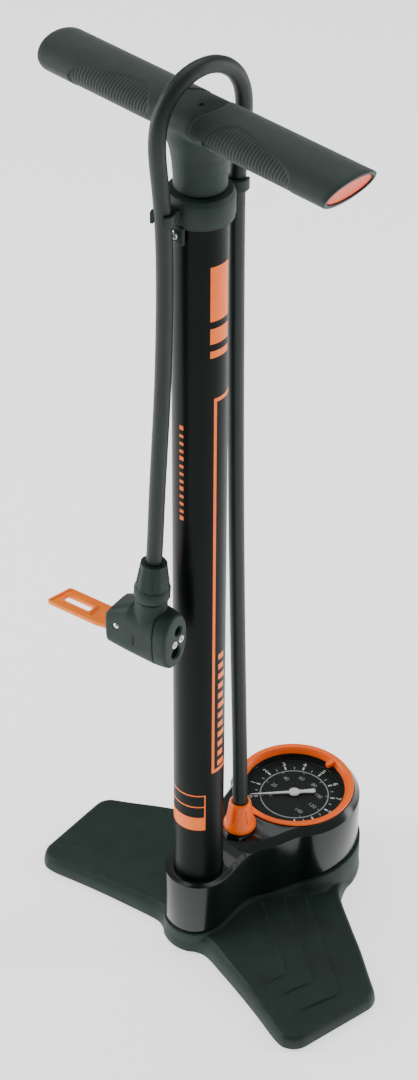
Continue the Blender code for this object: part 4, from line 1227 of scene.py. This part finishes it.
class PUMP_OT_head(bpy.types.Operator):
    """Adds the valve head's body, its two-hole cap and the sleeve that holds the hose"""
    bl_idname = "pump.head"
    bl_label = "Valve head"

    def execute(self, context):
        s = settings("head")
        face, seam, rear, half = s.face / MM, s.seam / MM, s.rear / MM, s.half_width / MM
        mid, pin_u, pin_z = s.middle / MM, s.pin_u / MM, s.pin_z / MM
        low, high = mid - 20.5, mid + 20.5
        body = in_head(loft([head_ring(rear, half - 1.6, 291.3, 316.2, 0.4),
                             head_ring(rear + 1.6, half, 289.8, 317.7, 0.4),
                             head_ring(-12, half, 286.5, 326, 0.52),
                             head_ring(seam - 0.35, half, low, high + 1.4, 0.7)]))
        neck = on_neck(lathe([(0, -0.8), (9.8, -0.8), (10.4, -1.4), (11.4, -21), (0, -21)], steps=64))
        tools = [in_head(brick((-25.3, 0, 304.5), (23.6, 20.8, 18.0))),
                 in_head(brick((-32.1, 0, 313.0), (10.0, 20.6, 14.0))),
                 in_head(bar((-15, 0, mid), (seam + 4, 0, mid), 9.4)),
                 in_head(bar((pin_u, -20, pin_z), (pin_u, 20, pin_z), 2.35, 32)),
                 in_head(brick((-5.6, -half, 303.4), (1.5, 2.0, 9.0), round_by=0.6)),
                 in_head(brick((-5.6, half, 303.4), (1.5, 2.0, 9.0), round_by=0.6))]
        body = melt(carve(fuse(body, neck), *tools), 0.5, 3)
        piece("head_housing", body, "textured_plastic", "pump_stand", ["head_body"],
                                 sharp=60)

        cap = in_head(loft([head_ring(u, wide, bottom, top, square)
                            for u, wide, bottom, top, square in (
                                (seam, half - 0.5, low + 0.5, high + 0.7, 0.72),
                                (seam + 0.5, half, low, high + 1.2, 0.72),
                                (face - 3.0, half, low, high + 0.1, 0.84),
                                (face - 1.2, half - 0.4, low + 0.4, high - 0.4, 0.86),
                                (face - 0.3, half - 1.2, low + 1.3, high - 1.3, 0.88),
                                (face, half - 2.2, low + 2.5, high - 2.5, 0.9))]))
        ways = []
        for radius, v, rise in ((3.5, 3.0, 7.1), (4.4, 0.2, -9.1)):
            ways += [bar((0, v, mid + rise), (40, v, mid + rise), radius),
                     bar((face - 1.0, v, mid + rise), (face + 0.5, v, mid + rise), radius,
                         end_radius=radius + 1.3),
                     bar((0, v, mid + rise), (seam + 5.3, v, mid + rise), radius + 2.2)]
        for v, rise in ((5.9, -1.2), (-1.4, -1.6)):
            ways.append(bar((face - 0.9, v, mid + rise), (40, v, mid + rise), 2.7, 32))
        cap = carve(cap, *[in_head(way) for way in ways])
        piece("valve_cap", cap, "textured_plastic", "pump_stand", ["head_cap"], bevel=0.2)

        barrel = drum(11.5, 9.2, 27.0, top_radius=8.9, steps=10)
        uprights = [e for e in barrel.edges if abs(e.verts[0].co.z - e.verts[1].co.z) > 5]
        bmesh.ops.bevel(barrel, geom=uprights, offset=1.2, affect="EDGES", segments=4, profile=0.5,
                        material=-1)
        foot = lathe([(10.6, 0.0), (11.3, 0.3), (11.9, 1.6), (11.9, 8.0), (11.3, 9.2), (10.4, 9.8),
                      (5.6, 9.8),
                      (5.6, 0.0)])
        ways = [drum(5.6, -2, 40, steps=64)]
        for k in range(5):
            groove = brick((10.6, 0, 18.0), (2.2, 1.5, 11.0), round_by=0.6)
            bmesh.ops.rotate(groove, cent=(10.6, 0, 18.0), matrix=Matrix.Rotation(radians(-8), 3, "Y"),
                             verts=groove.verts)
            bmesh.ops.rotate(groove, cent=(0, 0, 0), matrix=Matrix.Rotation(radians(72 * k - 116), 3, "Z"),
                             verts=groove.verts)
            ways.append(groove)
        sleeve = on_neck(carve(fuse(barrel, foot), *ways))
        piece("hose_sleeve", sleeve, "textured_plastic", "pump_stand", ["head_sleeve"],
                                 bevel=0.35)
        return {"FINISHED"}


class PUMP_OT_lever(bpy.types.Operator):
    """Adds the orange thumb lever with its rim and window"""
    bl_idname = "pump.lever"
    bl_label = "Thumb lever"

    def execute(self, context):
        s = settings("head")
        tip, z, pin_u, pin_z = s.lever_tip / MM, s.lever_z / MM, s.pin_u / MM, s.pin_z / MM
        plate = bmesh.new()
        outline = ((tip, -9.7), (-38, -9.7), (-34, -8.6), (-16.4, -8.6), (-16.4, 8.6), (-34, 8.6), (-38, 9.7),
                   (tip + 5, 9.7))
        corners = [plate.verts.new((u, v, z - 1.4)) for u, v in outline]
        face = bmesh.ops.contextual_create(plate, geom=corners)["faces"]
        top = bmesh.ops.extrude_face_region(plate, geom=face)
        top_verts = [g for g in top["geom"] if isinstance(g, bmesh.types.BMVert)]
        bmesh.ops.translate(plate, vec=(0, 0, 2.8), verts=top_verts)
        uprights = [e for e in plate.edges if abs(e.verts[0].co.z - e.verts[1].co.z) > 2
                    and e.verts[0].co.x < -30]
        bmesh.ops.bevel(plate, geom=uprights, offset=2.0, affect="EDGES", segments=6, profile=0.5,
                        material=-1)
        bmesh.ops.recalc_face_normals(plate, faces=plate.faces)
        lid = [f for f in plate.faces if f.normal.z > 0.9]
        bmesh.ops.inset_region(plate, faces=lid, thickness=1.5)
        bmesh.ops.inset_region(plate, faces=lid, thickness=0.4, depth=-0.7)
        waist = brick((-41.5, 0, z + 1.4), (9.0, 11.0, 2.2), round_by=0.5)
        window = brick((-60, 0, z), (22.0, 6.4, 20), round_by=1.6)
        frame_rim = brick((-60, 0, z + 0.3), (26.0, 10.4, 2.1), round_by=0.4)
        plate = fuse(plate, frame_rim)
        link = brick((pin_u + 0.2, 0, (z + pin_z) / 2), (7.0, 17.0, pin_z - z))
        eye = bar((pin_u, -9.6, pin_z), (pin_u, 9.6, pin_z), 4.5)
        lever = carve(fuse(plate, link, eye), window, waist, bar((pin_u, -20, pin_z), (pin_u, 20,
                                                                                       pin_z), 2.2, 32))
        piece("thumb_lever", in_head(lever), "lever_plastic", "head_lever", ["head_lever"],
                                 bevel=0.2)
        return {"FINISHED"}


# ---------------------------------------------------------------- panel
MAKERS = (PUMP_OT_stage, PUMP_OT_base, PUMP_OT_cover, PUMP_OT_barrel, PUMP_OT_gauge, PUMP_OT_nut,
          PUMP_OT_collar, PUMP_OT_handle, PUMP_OT_grips, PUMP_OT_head, PUMP_OT_lever, PUMP_OT_valve_spring,
          PUMP_OT_inner_works, PUMP_OT_hose)
GROUPS = {"stage": StageSettings, "base": BaseSettings, "gauge": GaugeSettings, "handle": HandleSettings,
          "hose": HoseSettings, "head": HeadSettings}


class PUMP_PT_pieces(bpy.types.Panel):
    """Lists the pump's pieces and their sizes"""
    bl_idname = "PUMP_PT_pieces"
    bl_label = "Floor bike pump"
    bl_space_type = "VIEW_3D"
    bl_region_type = "UI"
    bl_category = "Pump"

    def draw(self, context):
        for name, group in GROUPS.items():
            box = self.layout.box()
            box.label(text=name.capitalize())
            for key in group.__annotations__:
                box.prop(settings(name), key)
        for maker in MAKERS:
            self.layout.operator(maker.bl_idname)


def register():
    for cls in (*GROUPS.values(), *MAKERS, PUMP_PT_pieces):
        bpy.utils.register_class(cls)
    for name, group in GROUPS.items():
        setattr(bpy.types.Scene, "pump_" + name, PointerProperty(type=group))


def unregister():
    for name in GROUPS:
        delattr(bpy.types.Scene, "pump_" + name)
    for cls in reversed((*GROUPS.values(), *MAKERS, PUMP_PT_pieces)):
        bpy.utils.unregister_class(cls)


def main():
    register()
    for maker in MAKERS:
        getattr(bpy.ops.pump, maker.bl_idname.split(".")[1])()


if __name__ == "__main__":
    main()
